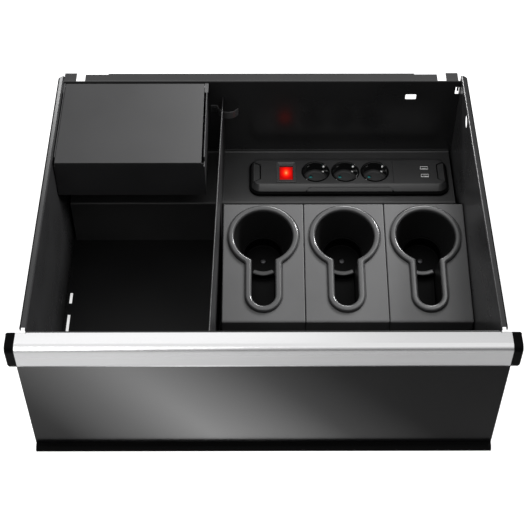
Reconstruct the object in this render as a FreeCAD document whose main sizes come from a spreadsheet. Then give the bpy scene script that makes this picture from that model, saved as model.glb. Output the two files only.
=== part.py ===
import FreeCAD, Part
import os
import re
import Sketcher

# Driving sizes in millimetres (angles in degrees). Depths are measured back from the front
# ends of the side walls, drops are measured down from the top of the drawer.
SIZES = {
    # sheet steel shell
    "overall_height": 236, "flange_span": 600, "flange_width": 9, "flange_lip": 7, "gauge": 1.2,
    "body_depth": 468, "front_y": -223.5, "floor_top": 11, "back_inner": 456, "bend_radius": 1.1,
    "flange_reach": 17, "shoulder_reach": 15, "tab_reach": 18, "inner_front_drop": 4, "flange_shift": 2.2,
    "flange_half": 224.5, "shoulder_half": 258, "tab_inner": 271, "tab_outer": 288.5,
    "wall_hole_depth": 385, "wall_hole_drop": 14.5, "wall_hole_radius": 9.5,
    "cable_slot_left": 211, "cable_slot_right": 227, "cable_slot_top": 26, "cable_slot_bottom": 36,
    "hook_inner": 283.5, "hook_outer": 290, "hook_top": 11.7, "hook_bottom": 25.4,
    "hook_leg": 2, "hook_foot": 6,
    "floor_slot_x": 284.8, "floor_slot_width": 4, "long_slot_depth": 150, "long_slot_length": 50,
    "short_slot_depth": 221, "short_slot_length": 20,
    # front panel, bottom trim and handle
    "panel_half": 308, "panel_stand": 18, "panel_gauge": 1.5, "panel_bottom": 7.6, "panel_drop": 40.5,
    "panel_flange": 16, "panel_edge": 1, "window_half": 271,
    "trim_reach": 27, "trim_depth": 24, "trim_slope": 4, "trim_fall": 1,
    "rail_half": 304.5, "rail_reach": 26.5, "rail_depth": 26, "rail_height": 44.4, "rail_wall": 2.2,
    "rail_nose": 9, "rail_skirt": 10, "rail_foot": 4, "rail_toe": 3, "rail_gap": 1, "rail_base_drop": 48,
    "cap_thickness": 12, "cap_edge": 1.2, "spigot_length": 10, "spigot_front": 6, "spigot_back": 3.5,
    "spigot_gap": 0.3, "spigot_drop": 5,
    "handle_screw_inner": 90, "handle_screw_outer": 250, "handle_screw_drop": 22, "handle_screw_reach": 4,
    "panel_screw_x": 280, "panel_screw_low": 45, "panel_screw_high": 165, "panel_screw_reach": 7,
    "handle_screw_radius": 2.2, "panel_screw_radius": 1.6, "screw_play": 0.5,
    # rear shelf, divider and cable clip
    "shelf_half": 287.5, "shelf_front": 345.5, "shelf_top": 93.5, "shelf_flange": 18,
    "shelf_rivet_drop": 11, "rivet_radius": 2, "rivet_head": 3.6, "rivet_head_height": 1.2,
    "divider_front_x": -69.5, "divider_angle": 1.22, "divider_top": 206, "divider_length": 454.5,
    "divider_notch": 16, "notch_margin": 4, "divider_gap": 0.6,
    "clip_low": 177.5, "clip_height": 12.5, "clip_x": -78, "clip_gauge": 1.5, "clip_radius": 17,
    "clip_foot": 11, "clip_eye": 5, "clip_mouth": 8,
    # lidded box at the rear left
    "box_left": -289.6, "box_right": -81, "box_front": 291, "box_bottom": 169, "box_rim": 231.3,
    "lid_left": -287.8, "lid_right": -85.4, "lid_back": 454.5, "lid_top": 233, "lid_corner": 1.5,
    "ear_left": -290.6, "ear_right": -79.5, "ear_front": 435.3, "ear_gap": 0.6, "box_rear_rim": 224,
    "cheek_notch": 11.5, "cheek_notch_drop": 6,
    "box_rivet_inset": 30, "box_rivet_drop": 14,
    "hinge_depth": 450.5, "hinge_height": 230.2, "hinge_pin": 1.5, "hinge_play": 0.05,
    "knuckle_radius": 2.6, "knuckle_length": 7,
    # tool holders
    "holder_left": -57.6, "holder_pitch": 116, "holder_width": 115.4, "holder_length": 191.8,
    "holder_tilt": 10.66, "holder_front": 120.5, "holder_front_height": 94.5, "plate_gauge": 3,
    "mouth_back": 55, "mouth_radius": 42, "rim_radius": 51, "slot_half": 16.5, "rim_half": 26,
    "slot_end": 151, "rim_height": 4.4, "rim_lap": 3, "cup_wall": 2.5, "cup_depth": 50,
    "throat_radius": 30, "well_radius": 28, "ledge_radius": 36, "well_depth": 72, "channel_depth": 60,
    "post_radius": 9, "post_length": 60, "post_pilot": 25,
    "holder_screw_radius": 2, "holder_screw_length": 20,
    # power strip
    "strip_x": 129.6, "strip_y": 397, "strip_length": 295, "strip_width": 64, "strip_top": 108,
    "strip_corner": 12, "strip_bevel": 5, "cover_wall": 2.6, "strip_gap": 0.4,
    "groove_inset": 13, "groove_half_width": 3, "groove_half_length": 13, "groove_depth": 1,
    "base_length": 282, "base_width": 54, "base_bottom": 60, "base_wall": 2,
    "strip_screw_x": 128, "strip_screw_y": 19.5, "strip_screw_radius": 1.5,
    "boss_radius": 3.4, "boss_roof": 5, "boss_slack": 1,
    "gland_x": 11, "gland_radius": 9, "gland_neck": 6.5, "gland_bore": 4.2,
    "gland_flange": 5, "gland_reach": 4,
    # sockets of the strip
    "socket_x": 79.5, "socket_pitch": 44.6, "recess_radius": 20, "socket_wall": 1.4, "recess_depth": 17.5,
    "socket_lip": 1, "socket_rim": 0.7, "socket_floor": 2, "socket_play": 0.1,
    "pin_offset": 6.72, "pin_hole": 2.8, "pivot_radius": 1.5, "pivot_play": 0.06, "hub_radius": 4.4,
    "shutter_top": 87.7, "shutter_gauge": 2.5, "shutter_half": 13.2, "shutter_width": 6.8,
    "spring_radius": 2.6, "spring_gap": 0.4,
    "sleeve_top": 83.5, "sleeve_radius": 3.6, "sleeve_bore": 2.5,
    "bar_bottom": 72, "bar_gauge": 1, "bar_width": 6, "bar_overrun": 20,
    "earth_bottom": 66.5, "earth_half": 17, "earth_gauge": 1,
    "leaf_reach": 18.4, "leaf_width": 4, "leaf_play": 0.4, "leaf_drop": 4,
    # rocker switch
    "switch_x": 35, "switch_y": 395.4, "bezel_length": 42.4, "bezel_width": 29.5, "bezel_height": 1.6,
    "bezel_corner": 2.5, "bezel_lap": 1, "bezel_end_lap": 1.5, "bezel_play": 0.1, "bezel_skirt": 13,
    "rocker_length": 27, "rocker_width": 19.6, "rocker_axis": 101, "rocker_tilt": 11,
    "rocker_height": 9, "rocker_shoulder": 4.6, "rocker_foot": 5, "rocker_sink": 3.6,
    "rocker_side_play": 0.5, "rocker_end_play": 1.9,
    "trunnion_radius": 1.2, "trunnion_play": 0.05, "trunnion_reach": 1.8, "bearing_reach": 2.2,
    "case_half": 12.5, "case_end": 16, "case_depth": 32,
    "hollow_half": 10, "hollow_end": 11, "hollow_depth": 22,
    "blade_half": 3.2, "blade_gauge": 0.8, "blade_pitch": 10, "blade_length": 10,
    # charging ports
    "usb_x": 244, "usb_spread": 8, "usb_half": 6.6, "usb_end": 2.9, "usb_wall": 0.5, "usb_play": 0.2,
    "usb_depth": 18.4, "usb_floor": 5, "usb_proud": 0.3,
    "tongue_half": 5.5, "tongue_near": 0.2, "tongue_far": 1.9, "tongue_drop": 1.2,
    "board_left": 15, "board_right": 8.5, "board_half": 16, "board_gauge": 1.6,
}
SHELF_RIVET_X = (-250, -150, -20, 90, 190, 265)
DOCUMENT = FreeCAD.newDocument("tool_drawer")
NODES = {}

# Formulas that several pieces share
WALL = "(flange_span/2-flange_width)"
BACK = "(front_y+back_inner)"
STRIP_Y = "(front_y+strip_y)"
SWITCH_Y = "(front_y+switch_y)"
SOCKETS = ["(socket_x+%d*socket_pitch)" % index for index in range(3)]


def fill_sheet():
    """Writes the driving sizes into a sheet, one named cell each."""
    sheet = DOCUMENT.addObject("Spreadsheet::Sheet", "Sizes")
    for row, (name, value) in enumerate(SIZES.items(), start=1):
        sheet.set("A%d" % row, name)
        sheet.set("B%d" % row, str(value))
        sheet.setAlias("B%d" % row, name)
    DOCUMENT.recompute()


def size(name):
    return float(SIZES[name])


def formula(text):
    """Points every size named in a formula at its cell."""
    def cell(word):
        return "Sizes." + word[0] if word[0] in SIZES else word[0]
    return re.sub(r"[a-z][a-z_]*", cell, str(text))


def evaluate(text):
    """The number a formula gives."""
    return float(DOCUMENT.getObject("Sizes").evalExpression(formula(text)))


def bind(item, properties):
    for name, text in properties.items():
        item.setExpression(name, formula(text))
    return item


def place(item, x=0, y=0, z=0):
    return bind(item, {"Placement.Base.x": x, "Placement.Base.y": y, "Placement.Base.z": z})


def node(name, item):
    """Names a finished sub-part, which is also the name of its file."""
    item.Label = name
    NODES[name] = item
    return item


def mirrored(side, low, high):
    """A span along X on the right (1), or its mirror image on the left (-1)."""
    return (low, high) if side > 0 else ("-(%s)" % high, "-(%s)" % low)


def through(low, high):
    """A cutting span that runs a millimetre past both ends."""
    return "(%s)-1" % low, "(%s)+1" % high


def around(middle, half):
    """A span of the same reach to both sides of a middle."""
    return "(%s)-(%s)" % (middle, half), "(%s)+(%s)" % (middle, half)


def box(x, y, z):
    """A block between pairs of low and high formulas along each axis."""
    block = DOCUMENT.addObject("Part::Box", "block")
    spans = zip(("Length", "Width", "Height"), (x, y, z))
    bind(block, {name: "(%s)-(%s)" % (high, low) for name, (low, high) in spans})
    return place(block, x[0], y[0], z[0])


def rod(axis, radius, centre, span):
    """A round bar along X, Y or Z. centre gives the two other coordinates, in X, Y, Z order."""
    bar = DOCUMENT.addObject("Part::Cylinder", "rod")
    bind(bar, {"Radius": radius, "Height": "(%s)-(%s)" % (span[1], span[0])})
    turns = {"X": FreeCAD.Rotation(FreeCAD.Vector(0, 1, 0), 90), "Z": FreeCAD.Rotation(),
             "Y": FreeCAD.Rotation(FreeCAD.Vector(1, 0, 0), -90)}
    bar.Placement = FreeCAD.Placement(FreeCAD.Vector(), turns[axis])
    base = list(centre)
    base.insert("XYZ".index(axis), span[0])
    return place(bar, *base)


def fuse(*items):
    if len(items) == 1:
        return items[0]
    joined = DOCUMENT.addObject("Part::MultiFuse", "joined")
    joined.Shapes = list(items)
    joined.Refine = True
    return joined


def cut(base, *tools):
    opened = DOCUMENT.addObject("Part::Cut", "opened")
    opened.Base = base
    opened.Tool = fuse(*tools)
    return opened


def group(*items):
    """Several separate solids that share one node."""
    bunch = DOCUMENT.addObject("Part::Compound", "bunch")
    bunch.Links = list(items)
    return bunch


def rounded(base, radius, chosen, kind="Fillet"):
    """Rounds or bevels the edges whose bounds pass the given test."""
    DOCUMENT.recompute()
    smooth = DOCUMENT.addObject("Part::" + kind, "smooth")
    smooth.Base = base
    edges = enumerate(base.Shape.Edges, start=1)
    smooth.Edges = [(index, radius, radius) for index, edge in edges if chosen(edge.BoundBox)]
    return smooth


def profile(name, points, length):
    """A bar along X padded from an outline in the YZ plane. The points are non-negative formulas."""
    body = DOCUMENT.addObject("PartDesign::Body", name)
    pad = body.newObject("PartDesign::Pad", name + "_pad")
    pad.Profile = outline(body, points)
    bind(pad, {"Length": length})
    return body


def outline(body, points):
    """A closed sketch through the points, each coordinate held by its own formula."""
    plane = [item for item in body.Origin.OriginFeatures if item.Role == "YZ_Plane"][0]
    sketch = body.newObject("Sketcher::SketchObject", body.Name + "_outline")
    sketch.AttachmentSupport = [(plane, "")]
    sketch.MapMode = "FlatFace"
    corners = [FreeCAD.Vector(evaluate(across), evaluate(up), 0) for across, up in points]
    count = len(points)
    for index, corner in enumerate(corners):
        sketch.addGeometry(Part.LineSegment(corner, corners[(index + 1) % count]), False)
    for index in range(count):
        sketch.addConstraint(Sketcher.Constraint("Coincident", index, 2, (index + 1) % count, 1))
    for index, (across, up) in enumerate(points):
        for axis, kind, text in ((-2, "DistanceX", across), (-1, "DistanceY", up)):
            value = evaluate(text)
            if value == 0:
                sketch.addConstraint(Sketcher.Constraint("PointOnObject", index, 1, axis))
            else:
                held = sketch.addConstraint(Sketcher.Constraint(kind, -1, 1, index, 1, value))
                sketch.setExpression("Constraints[%d]" % held, formula(text))
    return sketch


def screw(axis, centre, seat, tip, radius):
    """A round-headed screw with a drive recess. seat is the underside of its head, tip the far end."""
    outward = "+" if evaluate(seat) > evaluate(tip) else "-"
    top = "(%s)%s1.1*%s" % (seat, outward, radius)
    recess = "(%s)%s0.5*%s" % (seat, outward, radius)

    def ordered(near, far):
        return (near, far) if outward == "+" else (far, near)

    blank = fuse(rod(axis, "2*" + radius, centre, ordered(seat, top)),
                 rod(axis, radius, centre, ordered(tip, seat)))
    return cut(blank, rod(axis, "0.7*" + radius, centre, ordered(recess, top)))


def rivet(spot, seat, far):
    """A rivet through a sheet, its flat head on the front side."""
    return fuse(rod("Y", "rivet_head", spot, (seat + "-rivet_head_height", seat)),
                rod("Y", "rivet_radius", spot, (seat, far)))


def handle_screw_spots():
    """Places of the handle's screws as X and Z formulas."""
    return [(sign + x, "overall_height-handle_screw_drop")
            for x in ("handle_screw_inner", "handle_screw_outer") for sign in ("-", "")]


def panel_screw_spots():
    """Places of the front panel's screws as X and Z formulas."""
    return [(x, z) for x in ("-panel_screw_x", "panel_screw_x")
            for z in ("panel_screw_low", "panel_screw_high")]


def make_side_walls():
    """Side walls, each with an outward flange and lip along its top, and a hole in the right one."""
    top = "overall_height"
    length = ("front_y", "front_y+body_depth")
    for side, name in ((-1, "side_wall_left"), (1, "side_wall_right")):
        web = box(mirrored(side, WALL, WALL + "+gauge"), length, (0, top))
        flange = box(mirrored(side, WALL, "flange_span/2"), length, (top + "-gauge", top))
        lip = box(mirrored(side, "flange_span/2-gauge", "flange_span/2"), length, (top + "-flange_lip", top))
        sheet = fuse(web, flange, lip)
        if side > 0:
            sheet = cut(sheet, rod("X", "wall_hole_radius",
                                   ("front_y+wall_hole_depth", top + "-wall_hole_drop"),
                                   through(WALL, WALL + "+gauge")))
        node(name, rounded(sheet, size("bend_radius"), lambda bounds: (
            bounds.YLength > size("body_depth") - 1 and bounds.ZMin > size("overall_height") - 0.01)))


def make_back_wall():
    """Back wall with a stepped flange, two end tabs, a cable slot and two hook holes."""
    top = "overall_height"
    web = box(("-" + WALL, WALL), (BACK, BACK + "+gauge"), (0, top))
    edge = (top + "-gauge", top)
    steps = (("flange_half", "flange_reach"), ("shoulder_half", "shoulder_reach"))
    flanges = [box(around("-flange_shift", half), (BACK, BACK + "+" + reach), edge) for half, reach in steps]
    tabs = []
    for side, shift in ((-1, "+flange_shift"), (1, "-flange_shift")):
        span = mirrored(side, "tab_inner" + shift, "tab_outer" + shift)
        tabs.append(box(span, (BACK, BACK + "+tab_reach"), edge))
    depth = through(BACK, BACK + "+gauge")
    slot = box(("cable_slot_left", "cable_slot_right"), depth,
               (top + "-cable_slot_bottom", top + "-cable_slot_top"))
    hooks = []
    for side in (-1, 1):
        hole = box(mirrored(side, "hook_inner", "hook_outer"), depth,
                   (top + "-hook_bottom", top + "-hook_top"))
        tongue = box(mirrored(side, "hook_inner+hook_leg", "hook_outer-hook_leg"), depth,
                     (top + "-hook_bottom+hook_foot", top + "-hook_top"))
        hooks.append(cut(hole, tongue))
    node("back_wall", cut(fuse(web, *flanges, *tabs), slot, *hooks))


def make_inner_front_and_floor():
    """Plain inner front, and the floor pan with slots along both sides."""
    depth = through("front_y", "front_y+gauge")
    plate = box(("-" + WALL, WALL), ("front_y", "front_y+gauge"), (0, "overall_height-inner_front_drop"))
    holes = [rod("Y", "handle_screw_radius+screw_play", spot, depth) for spot in handle_screw_spots()]
    holes += [rod("Y", "panel_screw_radius+screw_play", spot, depth) for spot in panel_screw_spots()]
    node("inner_front", cut(plate, *holes))

    along = ("front_y+gauge", BACK)
    slab = box(("-" + WALL, WALL), along, (0, "floor_top"))
    under = box(("-%s+gauge" % WALL, WALL + "-gauge"), (along[0] + "+gauge", along[1] + "-gauge"),
                ("-1", "floor_top-gauge"))
    slots = []
    for side in (-1, 1):
        across = mirrored(side, *around("floor_slot_x", "floor_slot_width/2"))
        for kind in ("long_slot", "short_slot"):
            start = "front_y+%s_depth" % kind
            slots.append(box(across, (start, "%s+%s_length" % (start, kind)), through(0, "floor_top")))
    node("floor_panel", cut(slab, under, *slots))


def make_front_panel():
    """Hollow front panel, the trim under it, and the panel's screws."""
    face = "(front_y-panel_stand)"
    top = "overall_height-panel_drop"
    block = box(("-panel_half", "panel_half"), (face, "front_y"), ("panel_bottom", top))
    hollow = box(("-panel_half+panel_gauge", "panel_half-panel_gauge"),
                 (face + "+panel_gauge", "front_y-panel_gauge"),
                 ("panel_bottom+panel_gauge", top + "-panel_gauge"))
    depth = through("front_y-panel_gauge", "front_y")
    window = box(("-window_half", "window_half"), depth, ("panel_bottom+panel_flange", top + "-panel_flange"))
    holes = [rod("Y", "panel_screw_radius", spot, depth) for spot in panel_screw_spots()]
    face_y = size("front_y") - size("panel_stand") + 0.01
    tray = cut(block, hollow, window, *holes)
    node("front_panel", rounded(tray, size("panel_edge"), lambda bounds: bounds.YMax < face_y))

    points = [(0, 0), ("trim_depth", 0), ("trim_depth", "panel_bottom"),
              ("trim_reach-panel_stand", "panel_bottom"), ("trim_slope", "panel_bottom-trim_fall"),
              (0, "panel_bottom-trim_slope")]
    node("bottom_trim", place(profile("trim", points, "2*panel_half"), "-panel_half", "front_y-trim_reach"))

    screws = [screw("Y", spot, "front_y+gauge", "front_y-panel_screw_reach", "panel_screw_radius")
              for spot in panel_screw_spots()]
    node("front_panel_screws", group(*screws))


def make_handle():
    """Hollow handle rail with a round nose, its end caps and its screws."""
    front = "front_y-rail_reach"
    low = "overall_height-rail_base_drop"
    behind = "rail_reach-panel_stand-rail_gap"
    ledge = "rail_base_drop-panel_drop+rail_gap"
    points = [("rail_depth", "rail_height"), (0, "rail_height"), (0, "rail_skirt"), ("rail_toe", "rail_foot"),
              (behind, "rail_foot"), (behind, ledge), ("rail_depth", ledge)]
    inside_y = (front + "+rail_wall", front + "+rail_depth-rail_wall")
    inside_z = ("%s+%s+rail_wall" % (low, ledge), low + "+rail_height-rail_wall")

    def nosed(item, radius, length, depth):
        """Rounds the long front edge along the top."""
        front_y = size("front_y") - size("rail_reach") + depth + 0.01
        top_z = size("overall_height") - 2 * size("rail_nose")
        return rounded(item, radius, lambda bounds: (
            bounds.XLength > length - 0.1 and bounds.YMax < front_y and bounds.ZMin > top_z))

    rail = place(profile("rail", points, "2*rail_half"), "-rail_half", front, low)
    shaped = nosed(rail, size("rail_nose"), 2 * size("rail_half"), 0)
    bore = box(through("-rail_half", "rail_half"), inside_y, inside_z)
    bore = nosed(bore, size("rail_nose") - size("rail_wall"), 2 * size("rail_half"), size("rail_wall"))
    pilots = [rod("Y", "handle_screw_radius", spot, through(inside_y[1], front + "+rail_depth"))
              for spot in handle_screw_spots()]
    node("handle_rail", cut(shaped, bore, *pilots))

    for side, name in ((-1, "handle_cap_left"), (1, "handle_cap_right")):
        across = mirrored(side, "rail_half", "rail_half+cap_thickness")
        cap = place(profile(name + "_block", points, "cap_thickness"), across[0], front, low)
        cap = nosed(cap, size("rail_nose"), size("cap_thickness"), 0)
        outer_x = size("rail_half") + size("cap_thickness") - 0.01
        cap = rounded(cap, size("cap_edge"), lambda bounds: (
            bounds.XLength < 0.01 and side * bounds.XMax > outer_x))
        spigot = box(mirrored(side, "rail_half-spigot_length", "rail_half"),
                     (front + "+spigot_front", "front_y-spigot_back"),
                     (inside_z[0] + "+spigot_gap", inside_z[1] + "-spigot_drop"))
        node(name, fuse(cap, spigot))

    screws = [screw("Y", spot, "front_y+gauge", "front_y-handle_screw_reach", "handle_screw_radius")
              for spot in handle_screw_spots()]
    node("handle_screws", group(*screws))


def make_shelf():
    """Rear shelf with its riser and rear flange, riveted to the back wall."""
    front = "(front_y+shelf_front)"
    across = ("-shelf_half", "shelf_half")
    top = box(across, (front, BACK), ("shelf_top-gauge", "shelf_top"))
    riser = box(across, (front, front + "+gauge"), ("floor_top", "shelf_top"))
    rear = box(across, (BACK + "-gauge", BACK), ("shelf_top-shelf_flange", "shelf_top"))
    opening = box(around("strip_x", "base_length/2+strip_gap"), around(STRIP_Y, "base_width/2+strip_gap"),
                  through("shelf_top-gauge", "shelf_top"))
    spots = [(x, "shelf_top-shelf_rivet_drop") for x in SHELF_RIVET_X]
    holes = [rod("Y", "rivet_radius", spot, through(BACK + "-gauge", BACK)) for spot in spots]
    front_y = size("front_y") + size("shelf_front") + 0.01
    sheet = cut(fuse(top, riser, rear), opening, *holes)
    node("rear_shelf", rounded(sheet, size("bend_radius"), lambda bounds: (
        bounds.XLength > size("shelf_half") and bounds.YMax < front_y
        and bounds.ZMin > size("shelf_top") - 0.01)))
    node("shelf_rivets", group(*[rivet(spot, BACK + "-gauge", BACK) for spot in spots]))


def make_divider():
    """Long upright sheet that steps over the shelf and leaves room for the cable clip."""
    across = through(0, "gauge")
    sheet = box((0, "gauge"), (0, "divider_length"), (0, "divider_top-floor_top"))
    step = box(across, ("shelf_front-gauge-divider_gap", "divider_length+1"), ("-1", "shelf_top-floor_top"))
    notch = box(across, ("divider_length-divider_notch", "divider_length+1"),
                ("clip_low-floor_top-notch_margin", "clip_low-floor_top+clip_height+notch_margin"))
    divider = cut(sheet, step, notch)
    bind(divider, {"Placement.Rotation.Angle": "-divider_angle"})
    node("divider", place(divider, "divider_front_x", "front_y+gauge+0.05", "floor_top"))


def make_cable_clip():
    """Bowed strap on the back wall, open at its right end, held by one rivet."""
    height = ("clip_low", "clip_low+clip_height")
    foot = box(("clip_x", "clip_x+clip_foot"), (BACK + "-clip_gauge", BACK), height)
    centre = ("clip_x+clip_foot+clip_radius-clip_gauge", BACK)
    behind = box(("clip_x", "clip_x+4*clip_radius"), (BACK, BACK + "+2*clip_radius"), height)
    mouth = box((centre[0], "clip_x+4*clip_radius"), (BACK + "-clip_mouth", BACK + "+1"), height)
    bow = cut(rod("Z", "clip_radius", centre, height), rod("Z", "clip_radius-clip_gauge", centre, height),
              behind, mouth)
    spot = ("clip_x+clip_eye", "clip_low+clip_height/2")
    eye = rod("Y", "rivet_radius", spot, through(BACK + "-clip_gauge", BACK))
    node("cable_clip", cut(fuse(foot, bow), eye))
    node("cable_clip_rivet", rivet(spot, BACK + "-clip_gauge", BACK))


def make_cable_box():
    """Sheet box hung on the back wall, its front welded on, with a lid between its cheeks on two pins."""
    front = "(front_y+box_front)"
    weld = front + "+gauge"
    inside_x = ("box_left+gauge", "box_right-gauge")
    shell = box(("box_left", "box_right"), (weld, BACK), ("box_bottom", "lid_top"))
    inside = box(inside_x, (front, BACK + "-gauge"), ("box_bottom+gauge", "lid_top+1"))
    low_rear = box(inside_x, through(BACK + "-gauge", BACK), ("box_rear_rim", "lid_top+1"))
    notches = [box(span, (front + "-1", front + "+cheek_notch"), ("box_rim-cheek_notch_drop", "lid_top+1"))
               for span in (("box_left-1", inside_x[0]), (inside_x[1], "box_right+1"))]
    ears = [box(span, ("front_y+ear_front", BACK), ("box_rim", "lid_top"))
            for span in (("ear_left", "lid_left-ear_gap"), ("lid_right+ear_gap", "ear_right"))]
    axis = ("front_y+hinge_depth", "hinge_height")
    pin_hole = rod("X", "hinge_pin", axis, through("box_left", "box_right"))
    spots = [(x, z) for x in ("box_left+box_rivet_inset", "box_right-box_rivet_inset")
             for z in ("box_bottom+box_rivet_drop", "box_rim-box_rivet_drop")]
    holes = [rod("Y", "rivet_radius", spot, through(BACK + "-gauge", BACK)) for spot in spots]
    trough = cut(shell, inside, low_rear, *notches)
    node("cable_box", cut(fuse(trough, *ears), pin_hole, *holes))
    plate = box(("box_left", "box_right"), (front, weld), ("box_bottom", "box_rim"))
    node("cable_box_front", cut(plate, *notches))
    node("cable_box_rivets", group(*[rivet(spot, BACK + "-gauge", BACK) for spot in spots]))

    plate = box(("lid_left", "lid_right"), (front, "front_y+lid_back"), ("lid_top-gauge", "lid_top"))
    starts = ("lid_left", "lid_right-knuckle_length")
    knuckles = []
    for start in starts:
        span = (start, start + "+knuckle_length")
        web = box(span, (axis[0] + "-knuckle_radius", axis[0]), ("hinge_height", "lid_top-gauge"))
        knuckles += [web, rod("X", "knuckle_radius", axis, span)]
    bore = rod("X", "hinge_pin+hinge_play", axis, ("box_left", "box_right"))
    under = size("lid_top") - size("gauge") - 0.01
    lid = rounded(cut(fuse(plate, *knuckles), bore), size("lid_corner"), lambda bounds: (
        bounds.ZMin > under and bounds.ZLength > size("gauge") - 0.01
        and bounds.DiagonalLength < 2 * size("gauge")))
    node("cable_box_lid", lid)
    pins = [rod("X", "hinge_pin", axis, span) for span in (
        ("box_left", starts[0] + "+knuckle_length"), (starts[1], "box_right"))]
    node("lid_hinge_pins", group(*pins))


# The middle of a holder's mouth, in the holder's own frame
MOUTH = ("holder_width/2", "holder_length-mouth_back")


def keyhole(radius, half, low, high):
    """A keyhole-shaped block standing on the holder's plate, in the holder's own frame."""
    middle = MOUTH[0]
    end = "holder_length-slot_end"
    return fuse(rod("Z", radius, MOUTH, (low, high)), rod("Z", half, (middle, end), (low, high)),
                box(around(middle, half), (end, MOUTH[1]), (low, high)))


def cone(top_radius, bottom_radius, low, high):
    """A tapering round block about the mouth's axis, in the holder's own frame."""
    taper = DOCUMENT.addObject("Part::Cone", "taper")
    bind(taper, {"Radius1": bottom_radius, "Radius2": top_radius, "Height": "(%s)-(%s)" % (high, low)})
    return place(taper, *MOUTH, low)


def in_holder(item, index):
    """Moves a piece from the holder's own frame to its tilted place in the drawer."""
    item.Placement = FreeCAD.Placement(FreeCAD.Vector(), FreeCAD.Rotation(FreeCAD.Vector(1, 0, 0), 1))
    bind(item, {"Placement.Rotation.Angle": "holder_tilt"})
    return place(item, "holder_left+%d*holder_pitch" % index, "front_y+holder_front", "holder_front_height")


def holder_plate(index):
    """A tilted plate with a keyhole opening, standing on a skirt along its four sides."""
    left = "(holder_left+%d*holder_pitch)" % index
    front = "(front_y+holder_front)"
    run = "holder_length*cos(holder_tilt*1deg)"
    rise = "holder_length*sin(holder_tilt*1deg)"
    front_top = "holder_front_height-plate_gauge/cos(holder_tilt*1deg)"
    back_top = "%s+%s" % (front_top, rise)
    opening = keyhole("rim_radius-rim_lap", "rim_half-rim_lap", *through("-plate_gauge", 0))
    sheet = box((0, "holder_width"), (0, "holder_length"), ("-plate_gauge", 0))
    plate = in_holder(cut(sheet, opening), index)
    points = [(0, 0), (run, 0), (run, back_top + "-floor_top"), (0, front_top + "-floor_top")]
    across = (left, left + "+holder_width")
    back = "(%s+%s)" % (front, run)
    skirt = [box(across, (front, front + "+plate_gauge"), ("floor_top", front_top)),
             box(across, (back + "-plate_gauge", back), ("floor_top", back_top))]
    for start in (left, across[1] + "-plate_gauge"):
        side = profile("skirt_%d_%d" % (index, len(skirt)), points, "plate_gauge")
        skirt.append(place(side, start, front, "floor_top"))
    return fuse(plate, *skirt)


def holder_cup(index):
    """A cup under a raised keyhole rim: a cone, a ledge, a well, and a channel to the front."""
    ledge_top = "-cup_depth"
    shell = fuse(keyhole("rim_radius", "rim_half", 0, "rim_height"),
                 cone("mouth_radius+cup_wall", "throat_radius+cup_wall", ledge_top, 0),
                 keyhole("throat_radius", "slot_half+cup_wall", "-channel_depth-cup_wall", 0),
                 rod("Z", "ledge_radius", MOUTH, ("-well_depth-cup_wall", ledge_top)))
    ledge = rod("Z", "ledge_radius", MOUTH, ("-channel_depth-1", ledge_top))
    hollow = fuse(cone("mouth_radius", "throat_radius", ledge_top, 0),
                  rod("Z", "mouth_radius", MOUTH, (0, "rim_height+1")),
                  cut(keyhole("slot_half", "slot_half", "-channel_depth", "rim_height+1"), ledge),
                  rod("Z", "well_radius", MOUTH, ("-well_depth", ledge_top)))
    screw_hole = rod("Z", "holder_screw_radius", MOUTH, through("-well_depth-cup_wall", "-well_depth"))
    return in_holder(cut(shell, hollow, screw_hole), index)


def holder_post(index):
    """A round post under the cup, trimmed level with the drawer's floor."""
    column = cut(rod("Z", "post_radius", MOUTH, ("-well_depth-post_length", "-well_depth-cup_wall")),
                 rod("Z", "holder_screw_radius", MOUTH, ("-well_depth-post_pilot", "-well_depth")))
    left = "holder_left+%d*holder_pitch" % index
    ground = box((left, left + "+holder_width"), ("front_y", BACK), ("-post_length", "floor_top"))
    return cut(in_holder(column, index), ground)


def make_holders():
    """Three tilted tool holders, each with a cup screwed to a post."""
    screws = []
    for index, name in enumerate(("left", "middle", "right")):
        node("holder_plate_" + name, holder_plate(index))
        node("holder_cup_" + name, holder_cup(index))
        fixing = screw("Z", MOUTH, "-well_depth", "-well_depth-holder_screw_length", "holder_screw_radius")
        screws.append(in_holder(fixing, index))
    node("holder_screws", group(*screws))
    node("holder_posts", group(*[holder_post(index) for index in range(3)]))


def strip_screw_spots():
    """Places of the strip's screws as X and Y formulas."""
    return [("strip_x%sstrip_screw_x" % a, STRIP_Y + "%sstrip_screw_y" % b) for a in "-+" for b in "-+"]


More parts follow.
